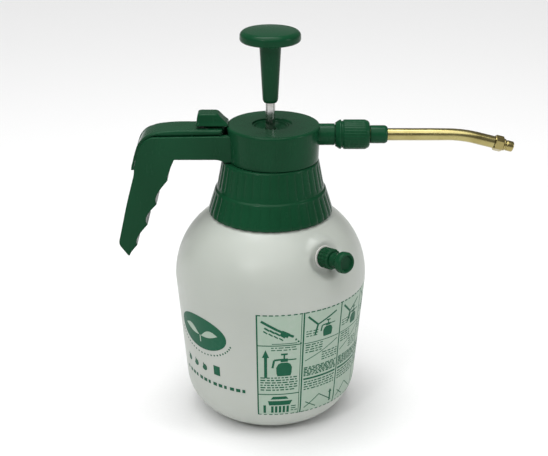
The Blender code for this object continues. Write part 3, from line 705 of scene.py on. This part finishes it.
def make_instructions():
    """The user's panel: framed cells with pictograms and dashed rows."""
    rng = random.Random(7)
    left, base = -8.0, 22.5
    width, height = 114.0, 86.0
    columns = [0.0, 33.2, 65.0, 92.0, width]
    tint = Print(left, base)
    for first, last in zip(columns, columns[1:]):
        tint.box(first + 0.4, 0.4, last - 0.4, height - 0.4, 0.035)
    tint.piece("print_panel_tint", TINT)

    p = Print(left, base)
    for u in columns[:-1]:
        p.box(u - 0.55, 0, u + 0.55, height)
    p.box(31.2, 0, 31.7, height)
    for step in range(27):
        u = step * 4.25
        p.box(u, height - 0.9, u + rng.uniform(2.2, 3.4), height)
        p.box(u, 0, u + rng.uniform(2.2, 3.4), 0.8)
    for v in (60.0, 18.2):
        p.box(0, v, 31.2, v + 0.8)
    hand_and_lance(p, 3.0, 63.5, 1.15)
    p.box(10.5, 61.6, 28.5, 62.2)
    p.arrow(6.0, 33.0, 24.0, 5.2)
    little_sprayer(p, 19.5, 34.5, 1.22)
    p.lines(rng, 10.0, 54.5, 30.0, 59.0, 2.0, 0.8)
    p.lines(rng, 2.0, 20.5, 30.0, 33.5, 2.1, 1.0)
    p.box(4.0, 2.0, 6.0, 9.0)
    p.polygon([(9.5, 14.2), (23.5, 14.2), (21.5, 16.6), (11.5, 16.6)])
    p.polygon([(8.5, 9.0), (24.5, 9.0), (26.5, 12.8), (7.5, 12.8)])
    for step in range(5):
        p.box(10.0 + 3.0 * step, 2.2, 11.9 + 3.0 * step, 8.2)
    p.lines(rng, 25.5, 2.0, 30.5, 8.0, 1.9, 0.8)

    for index, (first, last) in enumerate(zip(columns[1:], columns[2:])):
        span = last - first
        p.stroke([(first + 3, 82), (first + 11, 74), (first + 9, 66)], 1.5)
        p.stroke([(first + 11, 74), (first + span - 5, 81)], 1.3)
        little_sprayer(p, first + span * 0.62, 62.5, 0.86)
        p.lines(rng, first + 2, 64.0, first + span * 0.36, 70.0, 2.0, 0.8)
        p.box(first + 1, 59.6, last - 1, 60.2)
        p.stroke([(first + 2, 45), (first + span * 0.45, 50), (last - 2, 57)], 0.6)
        p.lines(rng, first + 2, 50.0, first + span * 0.5, 58.6, 2.0, 0.9)
        p.lines(rng, first + span * 0.5, 41.5, last - 1.5, 49.5, 2.0, 0.9)
        p.box(first + 1.4, 28.5, last - 1.4, 30.0)
        p.lines(rng, first + 1.4, 31.0, last - 1.4, 39.5, 1.35, 1.0)
        p.lines(rng, first + 2, 19.5, last - 2, 27.0, 2.1, 1.0)
        p.stroke([(first + 3, 4), (first + span * 0.5, 13), (last - 3, 4)], 0.7)
        p.stroke([(first + 4, 9), (first + span * 0.42, 3.2)], 0.7)
        if index == 0:
            p.arrow(last - 4.5, 3.0, 11.0, 3.6)
    return p.piece("print_instructions", INK)


def make_emblem():
    """A plain oval with two leaves, a ring of dots below it, and rows of drops and dashes."""
    p = Print(-76.0, 0.0)
    centre_u, centre_v = 32.5, 82.5
    p.disc(centre_u, centre_v, 25.0, 0.54, 56)
    for step in range(22):
        a = radians(-158 + 6.8 * step)
        p.disc(centre_u + 29.0 * cos(a), centre_v + 17.4 * sin(a), 0.75, 1.0, 8)
    for step in range(3):
        p.drop(13.0 + 10.5 * step, 53.0, 2.9)
    p.box(44.0, 50.4, 50.0, 58.4)
    for step in range(13):
        u = 6.0 + 5.2 * step
        p.box(u, 40.6, u + (3.6 if step % 3 else 2.4), 43.4)
    p.piece("print_emblem", INK)

    light = Print(-76.0, 0.0)
    for sign in (-1, 1):
        leaf = []
        steps = 12
        for step in range(2 * steps):
            t = step / steps
            bow = 4.2 * sin(pi * (t if t <= 1 else t - 1)) * (1 if t <= 1 else -0.35)
            run = 16.5 * (t if t <= 1 else 2 - t)
            leaf.append((centre_u + sign * (1.0 + run), centre_v - 2.6 + 0.26 * run + bow))
        light.polygon(leaf, 0.12)
    light.box(centre_u - 0.5, centre_v - 8.0, centre_u + 0.5, centre_v - 2.4, 0.12)
    light.piece("print_emblem_leaves", TINT)


# ---------------------------------------------------------------- collar

COLLAR_RIBS = 36
TIER_Z = 179.9 * MM
RIB_DEPTH = 0.6 * MM


def make_collar():
    """Two flared tiers of convex ribs with sharp valleys between them; the lower edge is toothed by them."""
    outside = fillet(
        scaled([
            (30.0, 201.4), (34.9, 201.4, 0.8), (35.7, 199.9, 1.5), (39.3, 181.0, 0.8), (39.6, 179.9, 0.8),
            (40.8, 179.0, 1.0), (45.6, 163.6, 1.2), (45.9, 161.3, 0.5), (43.8, 161.3, 0.5), (43.3, 162.0),
        ]),
        5,
    )
    outline = [outside[0]]
    for (r0, z0), (r1, z1) in zip(outside, outside[1:]):
        parts = max(1, int(hypot(r1 - r0, z1 - z0) / (1.2 * MM)))
        outline += [(r0 + (r1 - r0) * i / parts, z0 + (z1 - z0) * i / parts) for i in range(1, parts + 1)]
    inside = scaled([(38.0, 164.2), (32.3, 166.0), (32.3, 195.9), (30.0, 195.9)])

    def shape(angle, radius, height):
        if radius < 35.0 * MM or height < COLLAR_LOW.z - MM:
            return radius
        across = (angle * COLLAR_RIBS / (2 * pi)) % 1.0 * 2 - 1
        valley = abs(across) ** 3
        upper = min(1.0, max(0.0, (200.6 * MM - height) / (1.6 * MM)))
        step = min(1.0, max(0.0, (abs(height - TIER_Z) - 1.4 * MM) / (1.5 * MM)))
        lower = min(1.0, max(0.0, (radius - 43.4 * MM) / (1.0 * MM))) if height < 161.6 * MM else 1.0
        return radius - RIB_DEPTH * valley * upper * step * lower

    bm = lathe(outline + inside, COLLAR_RIBS * 12, closed=True, shape=shape)
    return place(bm, "collar_shell", GREEN, "collar", ["collar_nut"], crisp=40)


# ---------------------------------------------------------------- head

DRUM_X = 2.0 * MM
ARM_HALF = 14.0 * MM
CAVITY_HALF = 11.6 * MM
MOUTH_HALF = 9.5 * MM
GUIDE_HOLE_R = 13.3 * MM
COVER_HALF = 12.0 * MM


def grip_front(steps):
    """The finger scallops, from the grip's tip up to the arm: each bows back just above its lower crest."""
    crests = scaled([
        (-105.0, 128.5), (-98.6, 137.8), (-90.4, 154.0), (-83.2, 170.0), (-74.6, 188.5), (-69.5, 204.4),
    ])
    depths = [0.6 * MM, 2.2 * MM, 3.0 * MM, 2.6 * MM, 0.8 * MM]
    points = []
    for (x0, z0), (x1, z1), depth in zip(crests, crests[1:], depths):
        length = hypot(x1 - x0, z1 - z0)
        for step in range(steps):
            part = step / steps
            bow = depth * sin(pi * part ** 0.65)
            x = x0 + (x1 - x0) * part - bow * (z1 - z0) / length
            z = z0 + (z1 - z0) * part + bow * (x1 - x0) / length
            points.append((x, z))
    return points[1:]


def arm_outline():
    front = grip_front(12)[3:]
    under = scaled([(-69.5, 204.4, 3.0), (-37.5, 204.4, 4.0), (-32.6, 202.3), (-10.0, 202.3), (-10.0, 221.9)])
    top = scaled([(-34.0, 222.0), (-86.0, 221.2, 3.0)])
    top += scaled([(-90.8, 218.6, 3.0), (-93.9, 214.4, 3.0), (-96.0, 208.3, 3.0)])
    back = scaled([(-98.6, 198.9, 0.6), (-98.9, 193.2, 4.0), (-104.8, 171.7, 8.0), (-112.4, 138.6, 3.0)])
    tip = scaled([(-105.0, 128.5, 1.6)])
    return front + rounded_tail(under + top + back + tip, front)


def rounded_tail(corners, front):
    """Rounds the corners of the stretch that closes the outline behind the scallops."""
    path = [front[-1]] + corners + [front[0]]
    return fillet(path, 6)[1:-1]


def make_head():
    wall = scaled([(0, 201.7), (33.2, 201.7, 0.6), (34.0, 227.5, 2.2)])
    dish = scaled([(13.9, 227.5, 0.7), (13.3, 226.2), (0, 226.2)])
    shift = Matrix.Translation((DRUM_X, 0, 0))
    drum = lathe(fillet(wall + dish, 6), 160)
    bmesh.ops.transform(drum, matrix=shift, verts=drum.verts)
    neck = bar(29.5 * MM, 195.9 * MM, 203 * MM, 120)
    arm = soft_prism(arm_outline(), ARM_HALF, 0.7 * MM)
    across = along((1, 0, 0), (0, 0, LANCE_Z))
    stub = scaled([(0, 28), (7.9, 28), (7.9, 46.5, 0.5), (6.8, 46.5), (6.8, 62.0, 0.5), (0, 62.0)])
    spigot = lathe(fillet(stub, 4), 72)
    head = boolean(drum, [(neck, None), (arm, None), (spigot, across)], "UNION")
    room = [
        (bar(26.3 * MM, 190 * MM, 206 * MM, 96), None),
        (bar(30.6 * MM, 204.3 * MM, 224.5 * MM, 96), shift),
    ]
    head = boolean(head, room, "DIFFERENCE")
    head = boolean(head, [(bar(15.8 * MM, 198.5 * MM, 226.4 * MM, 96), None)], "UNION")
    cavity = scaled([
        (-24, 206.9), (-72.5, 206.9), (-80.0, 188.5), (-88.8, 170.5), (-95.6, 155.5), (-102.0, 141.5),
        (-106.2, 138.4), (-107.9, 147.0), (-102.4, 171.2), (-95.8, 193.0), (-92.6, 208.5), (-89.0, 215.4),
        (-85.0, 218.3), (-24, 219.3),
    ])
    mouth = scaled([
        (-29.0, 212.0), (-29.0, 225.0), (-84.0, 225.0), (-93.0, 224.0),
        (-105.0, 203.0), (-90.0, 203.0), (-84.0, 212.0),
    ])
    cuts = [
        (bar(GUIDE_HOLE_R, 190 * MM, 240 * MM, 96), None),
        (plain_prism(cavity, CAVITY_HALF), None),
        (plain_prism(mouth, MOUTH_HALF), None),
        (bar(5.9 * MM, 42 * MM, 70 * MM, 40), across),
        (bar(1.8 * MM, 26 * MM, 50 * MM, 20), across),
    ]
    head = boolean(head, cuts, "DIFFERENCE")
    return place(
        head, "head_shell", GREEN, "head", ["head_housing"], crisp=32, weighted=True
    )


def plain_prism(outline, half):
    bm = bmesh.new()
    face = bm.faces.new([bm.verts.new((x, -half, z)) for x, z in outline])
    moved = bmesh.ops.extrude_face_region(bm, geom=[face])["geom"]
    upper = [v for v in moved if isinstance(v, bmesh.types.BMVert)]
    bmesh.ops.translate(bm, verts=upper, vec=(0, 2 * half, 0))
    bmesh.ops.recalc_face_normals(bm, faces=bm.faces)
    return bm


def make_cover():
    top = scaled([
        (-34.6, 226.0, 0.5), (-70.0, 226.0, 8.0), (-84.0, 224.4, 8.0), (-92.8, 219.6, 6.0),
        (-96.6, 212.0, 8.0),
        (-99.2, 203.2, 4.0), (-100.9, 198.4, 1.0), (-99.5, 195.4, 0.6),
    ])
    under = scaled([
        (-98.9, 198.8, 0.3), (-96.3, 208.6, 4.0), (-94.2, 214.7, 4.0), (-91.0, 218.9, 4.0),
        (-86.1, 221.4, 4.0),
        (-34.6, 222.3, 0.3),
    ])
    cover = soft_prism(rounded_ring(top + under, 5), COVER_HALF, 1.6 * MM)
    pin = (PIN_LOW + PIN_HIGH) / 2
    groove = brick((pin.x - 1.5 * MM, -9.6 * MM, 215 * MM), (pin.x + 1.5 * MM, 9.6 * MM, pin.z + 1.5 * MM))
    slot = brick((-48 * MM, -4.8 * MM, 215 * MM), (-30 * MM, 4.8 * MM, 230 * MM))
    cover = boolean(cover, [(slot, None), (groove, None)], "DIFFERENCE")
    return place(cover, "cover_cap", GREEN, "head", ["arm_cover"], crisp=32, weighted=True)


def rounded_section(x0, x1, half, corner, height, steps=5):
    """A level rectangle with rounded corners."""
    corner = min(corner, half * 0.95, (x1 - x0) * 0.48)
    points = []
    for cx, cy, start in (
        (x1 - corner, half - corner, 0),
        (x0 + corner, half - corner, 90),
        (x0 + corner, -half + corner, 180),
        (x1 - corner, -half + corner, 270),
    ):
        for step in range(steps + 1):
            a = radians(start + 90 * step / steps)
            points.append((cx + corner * cos(a), cy + corner * sin(a), height))
    return points


def make_lever():
    """The thumb button: a flared skirt, a block with a sloping right side, and a rounded top."""
    levels = [
        (228.2, -53.6, -30.3, 8.3, 1.6), (228.9, -53.6, -30.4, 8.2, 1.8), (229.8, -53.3, -31.2, 7.7, 2.0),
        (231.0, -53.1, -32.6, 7.3, 2.0), (232.6, -52.9, -34.2, 7.0, 2.0), (234.4, -52.6, -35.8, 6.8, 2.0),
        (235.5, -52.3, -36.9, 6.6, 2.0), (236.1, -51.9, -37.6, 6.3, 1.9), (236.45, -51.3, -38.3, 5.7, 1.7),
        (236.6, -50.5, -39.2, 5.0, 1.5),
    ]
    bm = bmesh.new()
    rings = []
    for z, x0, x1, half, corner in levels:
        points = rounded_section(x0 * MM, x1 * MM, half * MM, corner * MM, z * MM)
        rings.append([bm.verts.new(point) for point in points])
    count = len(rings[0])
    for low, high in zip(rings, rings[1:]):
        for i in range(count):
            after = (i + 1) % count
            bm.faces.new((low[i], low[after], high[after], high[i]))
    bm.faces.new(rings[0])
    bm.faces.new(rings[-1])
    bmesh.ops.recalc_face_normals(bm, faces=bm.faces)
    pin = (PIN_LOW + PIN_HIGH) / 2
    lug = brick((-37.9 * MM, -4.2 * MM, 221.6 * MM), (-33.1 * MM, 4.2 * MM, 230 * MM), 0.4 * MM)
    foot = brick((-45.0 * MM, -3.2 * MM, 219.7 * MM), (-41.0 * MM, 3.2 * MM, 230 * MM), 0.4 * MM)
    bm = boolean(bm, [(lug, None), (foot, None)], "UNION")
    hole = bar(1.3 * MM, -9 * MM, 9 * MM, 32)
    bm = boolean(bm, [(hole, along((0, 1, 0), pin))], "DIFFERENCE")
    return place(
        bm, "thumb_button", GREEN, "thumb_lever", ["thumb_lever"], crisp=38, weighted=True
    )


# ---------------------------------------------------------------- plunger and guide

def make_plunger():
    top = KNOB_HIGH.z / MM
    knob = fillet(
        scaled([
            (3.7, 261.0), (3.7, 243.9), (4.7, 243.9, 0.3), (5.6, 245.6, 0.8), (5.75, 248.0, 1.0),
            (7.7, 283.6, 2.0),
            (8.6, 287.4, 2.0), (11.0, 288.5, 1.5), (20.6, 288.3, 1.4), (21.8, 289.6, 1.2),
            (21.7, 294.0, 2.6),
            (19.4, top - 0.9, 2.2), (9.0, top - 0.2, 3.0), (0.0, top),
        ]),
        6,
    )
    bm = lathe([(0, 261.0 * MM)] + knob, 128)
    place(bm, "knob_shell", GREEN, "plunger", ["plunger_knob"], crisp=40)
    foot = scaled([(0, 80.6), (2.6, 80.6, 0.3), (3.0, 81.2, 0.2), (3.0, 98.6)])
    stem = scaled([(3.5, 98.6, 0.3), (3.5, 260.8), (0, 260.8)])
    place(lathe(fillet(foot + stem, 3), 64), "rod_shell", STEEL, "plunger", ["pump_rod"])


def make_guide():
    """The guide in the dish: a raised ring, a cone down to the rod and a small lip round it."""
    guide = fillet(
        scaled([
            (3.75, 196.0), (13.0, 196.0, 0.4), (13.0, 226.4, 0.5), (11.9, 226.4, 0.5), (11.2, 225.0, 1.0),
            (6.4, 222.6, 1.0), (5.6, 222.9, 0.4), (5.4, 223.9, 0.4), (3.95, 223.9, 0.3), (3.75, 223.2),
        ]),
        4,
    )
    bm = lathe(guide, 96, closed=True)
    return place(bm, "guide_shell", GREEN, "head", ["rod_guide"], crisp=45)


# ---------------------------------------------------------------- lance

def on_lance(profile, sides, closed=False, shape=None):
    return lathe(profile, sides, closed, shape), along((1, 0, 0), (0, 0, LANCE_Z))


def make_lance():
    nut = fillet(
        scaled([
            (7.2, 46.9), (8.6, 46.9, 0.3), (10.7, 50.2, 0.5), (10.7, 51.0, 0.3), (9.8, 51.5, 0.3),
            (9.8, 52.5, 0.3),
            (10.8, 53.1, 0.5), (10.8, 69.0, 2.6), (9.0, 71.8, 1.2), (4.8, 71.8, 0.3), (4.8, 65.3),
            (7.2, 65.3),
        ]),
        6,
    )
    flutes = 30

    def flute(angle, radius, height):
        if radius < 10.3 * MM or height < 52.6 * MM:
            return radius
        return radius - 0.22 * MM * (0.5 + 0.5 * cos(flutes * angle)) ** 3

    bm, turn = on_lance(nut, flutes * 8, True, flute)
    place(bm, "nut_shell", GREEN, "union_nut", ["lance_nut"], turn=turn, crisp=40)
    sleeve = scaled([
        (4.6, 72.1), (6.3, 72.1, 0.3), (6.6, 72.6, 0.3), (6.6, 83.0, 0.6), (5.5, 84.8, 0.4), (4.6, 84.8),
    ])
    bm, turn = on_lance(fillet(sleeve, 4), 72, True)
    place(bm, "sleeve_shell", GREEN, "lance", ["lance_sleeve"], turn=turn, crisp=40)
    tube = tube_along(lance_path(), TUBE_R, TUBE_BORE_R, 56)
    place(tube, "tube_shell", BRASS, "lance", ["lance_tube"])
    make_nozzle()


TUBE_R = 4.45 * MM
TUBE_BORE_R = 3.4 * MM
TUBE_BEND = radians(14.5)
TUBE_BEND_R = 88 * MM
TUBE_BEND_X = 128 * MM
TUBE_TAIL = 12.5 * MM


def lance_path():
    """Middle line of the brass tube: straight, then an arc downwards, then a short straight end."""
    straight = [Vector((TUBE_LOW.x + (TUBE_BEND_X - TUBE_LOW.x) * i / 12, 0, LANCE_Z)) for i in range(12)]
    steps = 20
    bend = []
    for step in range(steps + 1):
        angle = TUBE_BEND * step / steps
        drop = TUBE_BEND_R * (1 - cos(angle))
        bend.append(Vector((TUBE_BEND_X + TUBE_BEND_R * sin(angle), 0, LANCE_Z - drop)))
    return straight + bend + [bend[-1] + nozzle_direction() * TUBE_TAIL]


def nozzle_direction():
    return Vector((cos(TUBE_BEND), 0, -sin(TUBE_BEND)))


def tube_along(path, outer, inner, sides):
    """A hollow tube along a path in the XZ plane, a little flattened where it bends."""
    bm = bmesh.new()
    loops = {outer: [], inner: []}
    for index, point in enumerate(path):
        ahead = (path[min(index + 1, len(path) - 1)] - path[max(index - 1, 0)]).normalized()
        side = Vector((0, 1, 0))
        up = ahead.cross(side)
        bend = max(0.0, 1 - abs(point.x - (TUBE_BEND_X + 6 * MM)) / (22 * MM))
        flat = 0.035 * bend * bend * (3 - 2 * bend)
        for radius, rings in loops.items():
            ring = []
            for step in range(sides):
                a = 2 * pi * step / sides
                across = side * radius * (1 + flat) * cos(a)
                ring.append(bm.verts.new(point + across + up * radius * (1 - flat) * sin(a)))
            rings.append(ring)
    rings = loops[outer] + loops[inner][::-1]
    for low, high in zip(rings, rings[1:] + rings[:1]):
        for step in range(sides):
            after = (step + 1) % sides
            bm.faces.new((low[step], low[after], high[after], high[step]))
    return bm


def hexagon(radius, corner):
    """Scales a turned profile into a hexagon with rounded corners, for radii above the corner radius."""

    def shape(angle, r, height):
        if r < corner:
            return r
        across = (angle + pi / 6) % (pi / 3) - pi / 6
        flat = radius * cos(pi / 6) / cos(across)
        return min(r, flat)

    return shape


def make_nozzle():
    turn = along(nozzle_direction(), lance_path()[-1])
    body = fillet(
        scaled([
            (2.0, 11.6), (2.0, 5.0), (3.5, 5.0), (3.5, 0.3), (4.8, 0.3, 0.3), (6.0, 1.1, 0.2),
            (6.0, 6.2, 0.2),
            (4.9, 7.0, 0.2), (2.9, 7.0), (2.9, 11.6, 0.2),
        ]),
        4,
    )
    bm = lathe(body, 96, closed=True, shape=hexagon(6.0 * MM, 4.7 * MM))
    place(bm, "nozzle_nut_shell", BRASS_DULL, "lance", ["nozzle_body"], turn=turn, crisp=30)
    tip = fillet(
        scaled([
            (3.2, 7.3), (4.2, 7.3, 0.2), (4.3, 7.6, 0.2), (4.3, 8.5, 0.2), (3.6, 8.9, 0.2), (3.6, 9.6, 0.2),
            (3.85, 9.9, 0.2), (3.85, 14.2, 0.5), (3.1, 14.8, 0.2), (1.2, 14.8, 0.2), (0.6, 14.3),
            (0.6, 13.2),
            (3.2, 13.2),
        ]),
        4,
    )
    ridges = 24

    def knurl(angle, radius, height):
        if radius < 3.7 * MM or height < 10.2 * MM or height > 13.6 * MM:
            return radius
        return radius - 0.12 * MM * (0.5 + 0.5 * cos(ridges * angle))

    bm = lathe(tip, ridges * 6, closed=True, shape=knurl)
    place(bm, "nozzle_tip_shell", BRASS_DULL, "nozzle", ["nozzle_tip"], turn=turn, crisp=35)


# ---------------------------------------------------------------- relief valve

def make_relief():
    turn = along(RELIEF_AXIS, RELIEF_ORIGIN)
    base = fillet(
        scaled([
            (1.8, 52.0), (6.0, 52.0, 0.4), (6.0, 60.8), (7.2, 60.8, 0.3), (7.6, 61.4, 0.3),
            (7.6, 63.0, 0.2),
            (7.0, 63.5, 0.2), (7.0, 64.1, 0.2), (7.6, 64.6, 0.2), (7.6, 69.6, 0.5),
            (6.6, 70.8, 0.4), (2.2, 70.8, 0.2),
            (2.2, 68.6), (4.4, 68.6), (4.4, 54.0), (1.8, 54.0),
        ]),
        3,
    )
    ridges = 16

    def knurl(angle, radius, height):
        if radius < 6.9 * MM or height < 61.2 * MM:
            return radius
        return radius - 0.55 * MM * (0.5 + 0.5 * cos(ridges * angle)) ** 2

    bm = lathe(base, ridges * 10, closed=True, shape=knurl)
    place(bm, "relief_base_shell", GREEN, "bottle", ["relief_base"], turn=turn, crisp=35)
    knob = fillet(
        scaled([
            (0, 57.0), (1.8, 57.0, 0.2), (1.8, 71.1), (5.6, 71.1, 0.4), (4.9, 73.6, 2.0), (5.2, 76.4, 2.0),
            (7.9, 79.6, 1.0), (7.9, 83.0, 1.2), (6.6, 84.7, 0.8), (5.6, 84.4, 0.5),
            (5.0, 82.2, 0.5), (0, 81.9),
        ]),
        5,
    )
    facets = 10

    def faceted(angle, radius, height):
        if radius < 6.0 * MM or height < 76 * MM:
            return radius
        across = (angle + pi / facets) % (2 * pi / facets) - pi / facets
        return min(radius, 7.9 * MM * cos(pi / facets) / cos(across) * 1.012)

    bm = lathe(knob, 120, shape=faceted)
    place(
        bm, "relief_knob_shell", GREEN, "relief_pull", ["relief_knob"], turn=turn, crisp=28
    )


# ---------------------------------------------------------------- carried-over CAD nodes

CARRIED = {
    "relief_seal": WHITE, "relief_washer": RUBBER, "relief_spring": STEEL, "lever_pin": STEEL,
    "valve_body": WHITE, "valve_stem": BRASS, "valve_seal": RUBBER, "valve_spring": STEEL,
    "delivery_tube": WHITE,
    "dip_tube": WHITE, "intake_filter": WHITE, "pump_cylinder": WHITE, "check_valve": RUBBER,
    "neck_gasket": RUBBER, "piston": WHITE, "piston_ring": RUBBER, "piston_nut": BRASS,
    "lance_o_ring": RUBBER,
    "lance_ring": BRASS, "swirl_core": BRASS, "nozzle_o_ring": RUBBER,
}


def dress_carried():
    """Gives the CAD nodes that stay their procedural materials."""
    for name, mat in CARRIED.items():
        node = frame["nodes"][name]
        for slot in node.material_slots:
            slot.material = mat
        if not node.material_slots:
            node.data.materials.append(mat)


# ---------------------------------------------------------------- stage

FLOOR_REACH = 30.0
CAMERA_AT = (0.0026, -0.8636, 0.5036)
CAMERA_TILT = 22.5
LENS = 82.1


def make_floor():
    bm = bmesh.new()
    bmesh.ops.create_grid(bm, x_segments=8, y_segments=8, size=FLOOR_REACH)
    floor = place(bm, "floor", floor_paper(), None)


def area_light(name, place_at, target, size, power, tint=(1, 1, 1)):
    light = bpy.data.lights.new(name, "AREA")
    light.shape = "RECTANGLE"
    light.size, light.size_y = size
    light.energy = power
    light.color = tint
    lamp = bpy.data.objects.new(name, light)
    bpy.context.scene.collection.objects.link(lamp)
    lamp.location = place_at
    lamp.rotation_euler = (Vector(target) - Vector(place_at)).to_track_quat("-Z", "Y").to_euler()
    return lamp


def make_lights():
    middle = (0, 0, 0.15)
    area_light("overhead", (-0.1, 0.15, 1.2), middle, (0.6, 0.5), 5)
    area_light("front_left", (-0.55, -1.0, 0.95), middle, (0.16, 0.16), 2.8)
    area_light("right", (1.2, -0.4, 0.7), middle, (0.3, 0.5), 2.5)
    sky = bpy.data.lights.new("sky", "SUN")
    sky.energy = 2.15
    sky.angle = radians(70)
    sky_lamp = bpy.data.objects.new("sky", sky)
    bpy.context.scene.collection.objects.link(sky_lamp)
    sky_lamp.rotation_euler = Vector((0.15, 0.3, -1)).to_track_quat("-Z", "Y").to_euler()
    world = bpy.data.worlds.new("studio")
    world.use_nodes = True
    world.node_tree.nodes["Background"].inputs["Color"].default_value = (1, 1, 1, 1)
    world.node_tree.nodes["Background"].inputs["Strength"].default_value = 0.24
    bpy.context.scene.world = world
    bpy.context.scene.view_settings.view_transform = "Standard"


def make_camera():
    """Looks level with the lance's side, 22.5 degrees down, from the far end of a long lens."""
    camera = bpy.data.cameras.new("camera")
    camera.sensor_width = 36.0
    camera.lens = LENS
    holder = bpy.data.objects.new("camera", camera)
    bpy.context.scene.collection.objects.link(holder)
    holder.location = CAMERA_AT
    holder.rotation_euler = (radians(90 - CAMERA_TILT), 0, 0)
    bpy.context.scene.camera = holder


make_camera()
make_bottle()
make_instructions()
make_emblem()
make_collar()
make_head()
make_cover()
make_lever()
make_plunger()
make_guide()
make_lance()
make_relief()
dress_carried()
make_floor()
make_lights()
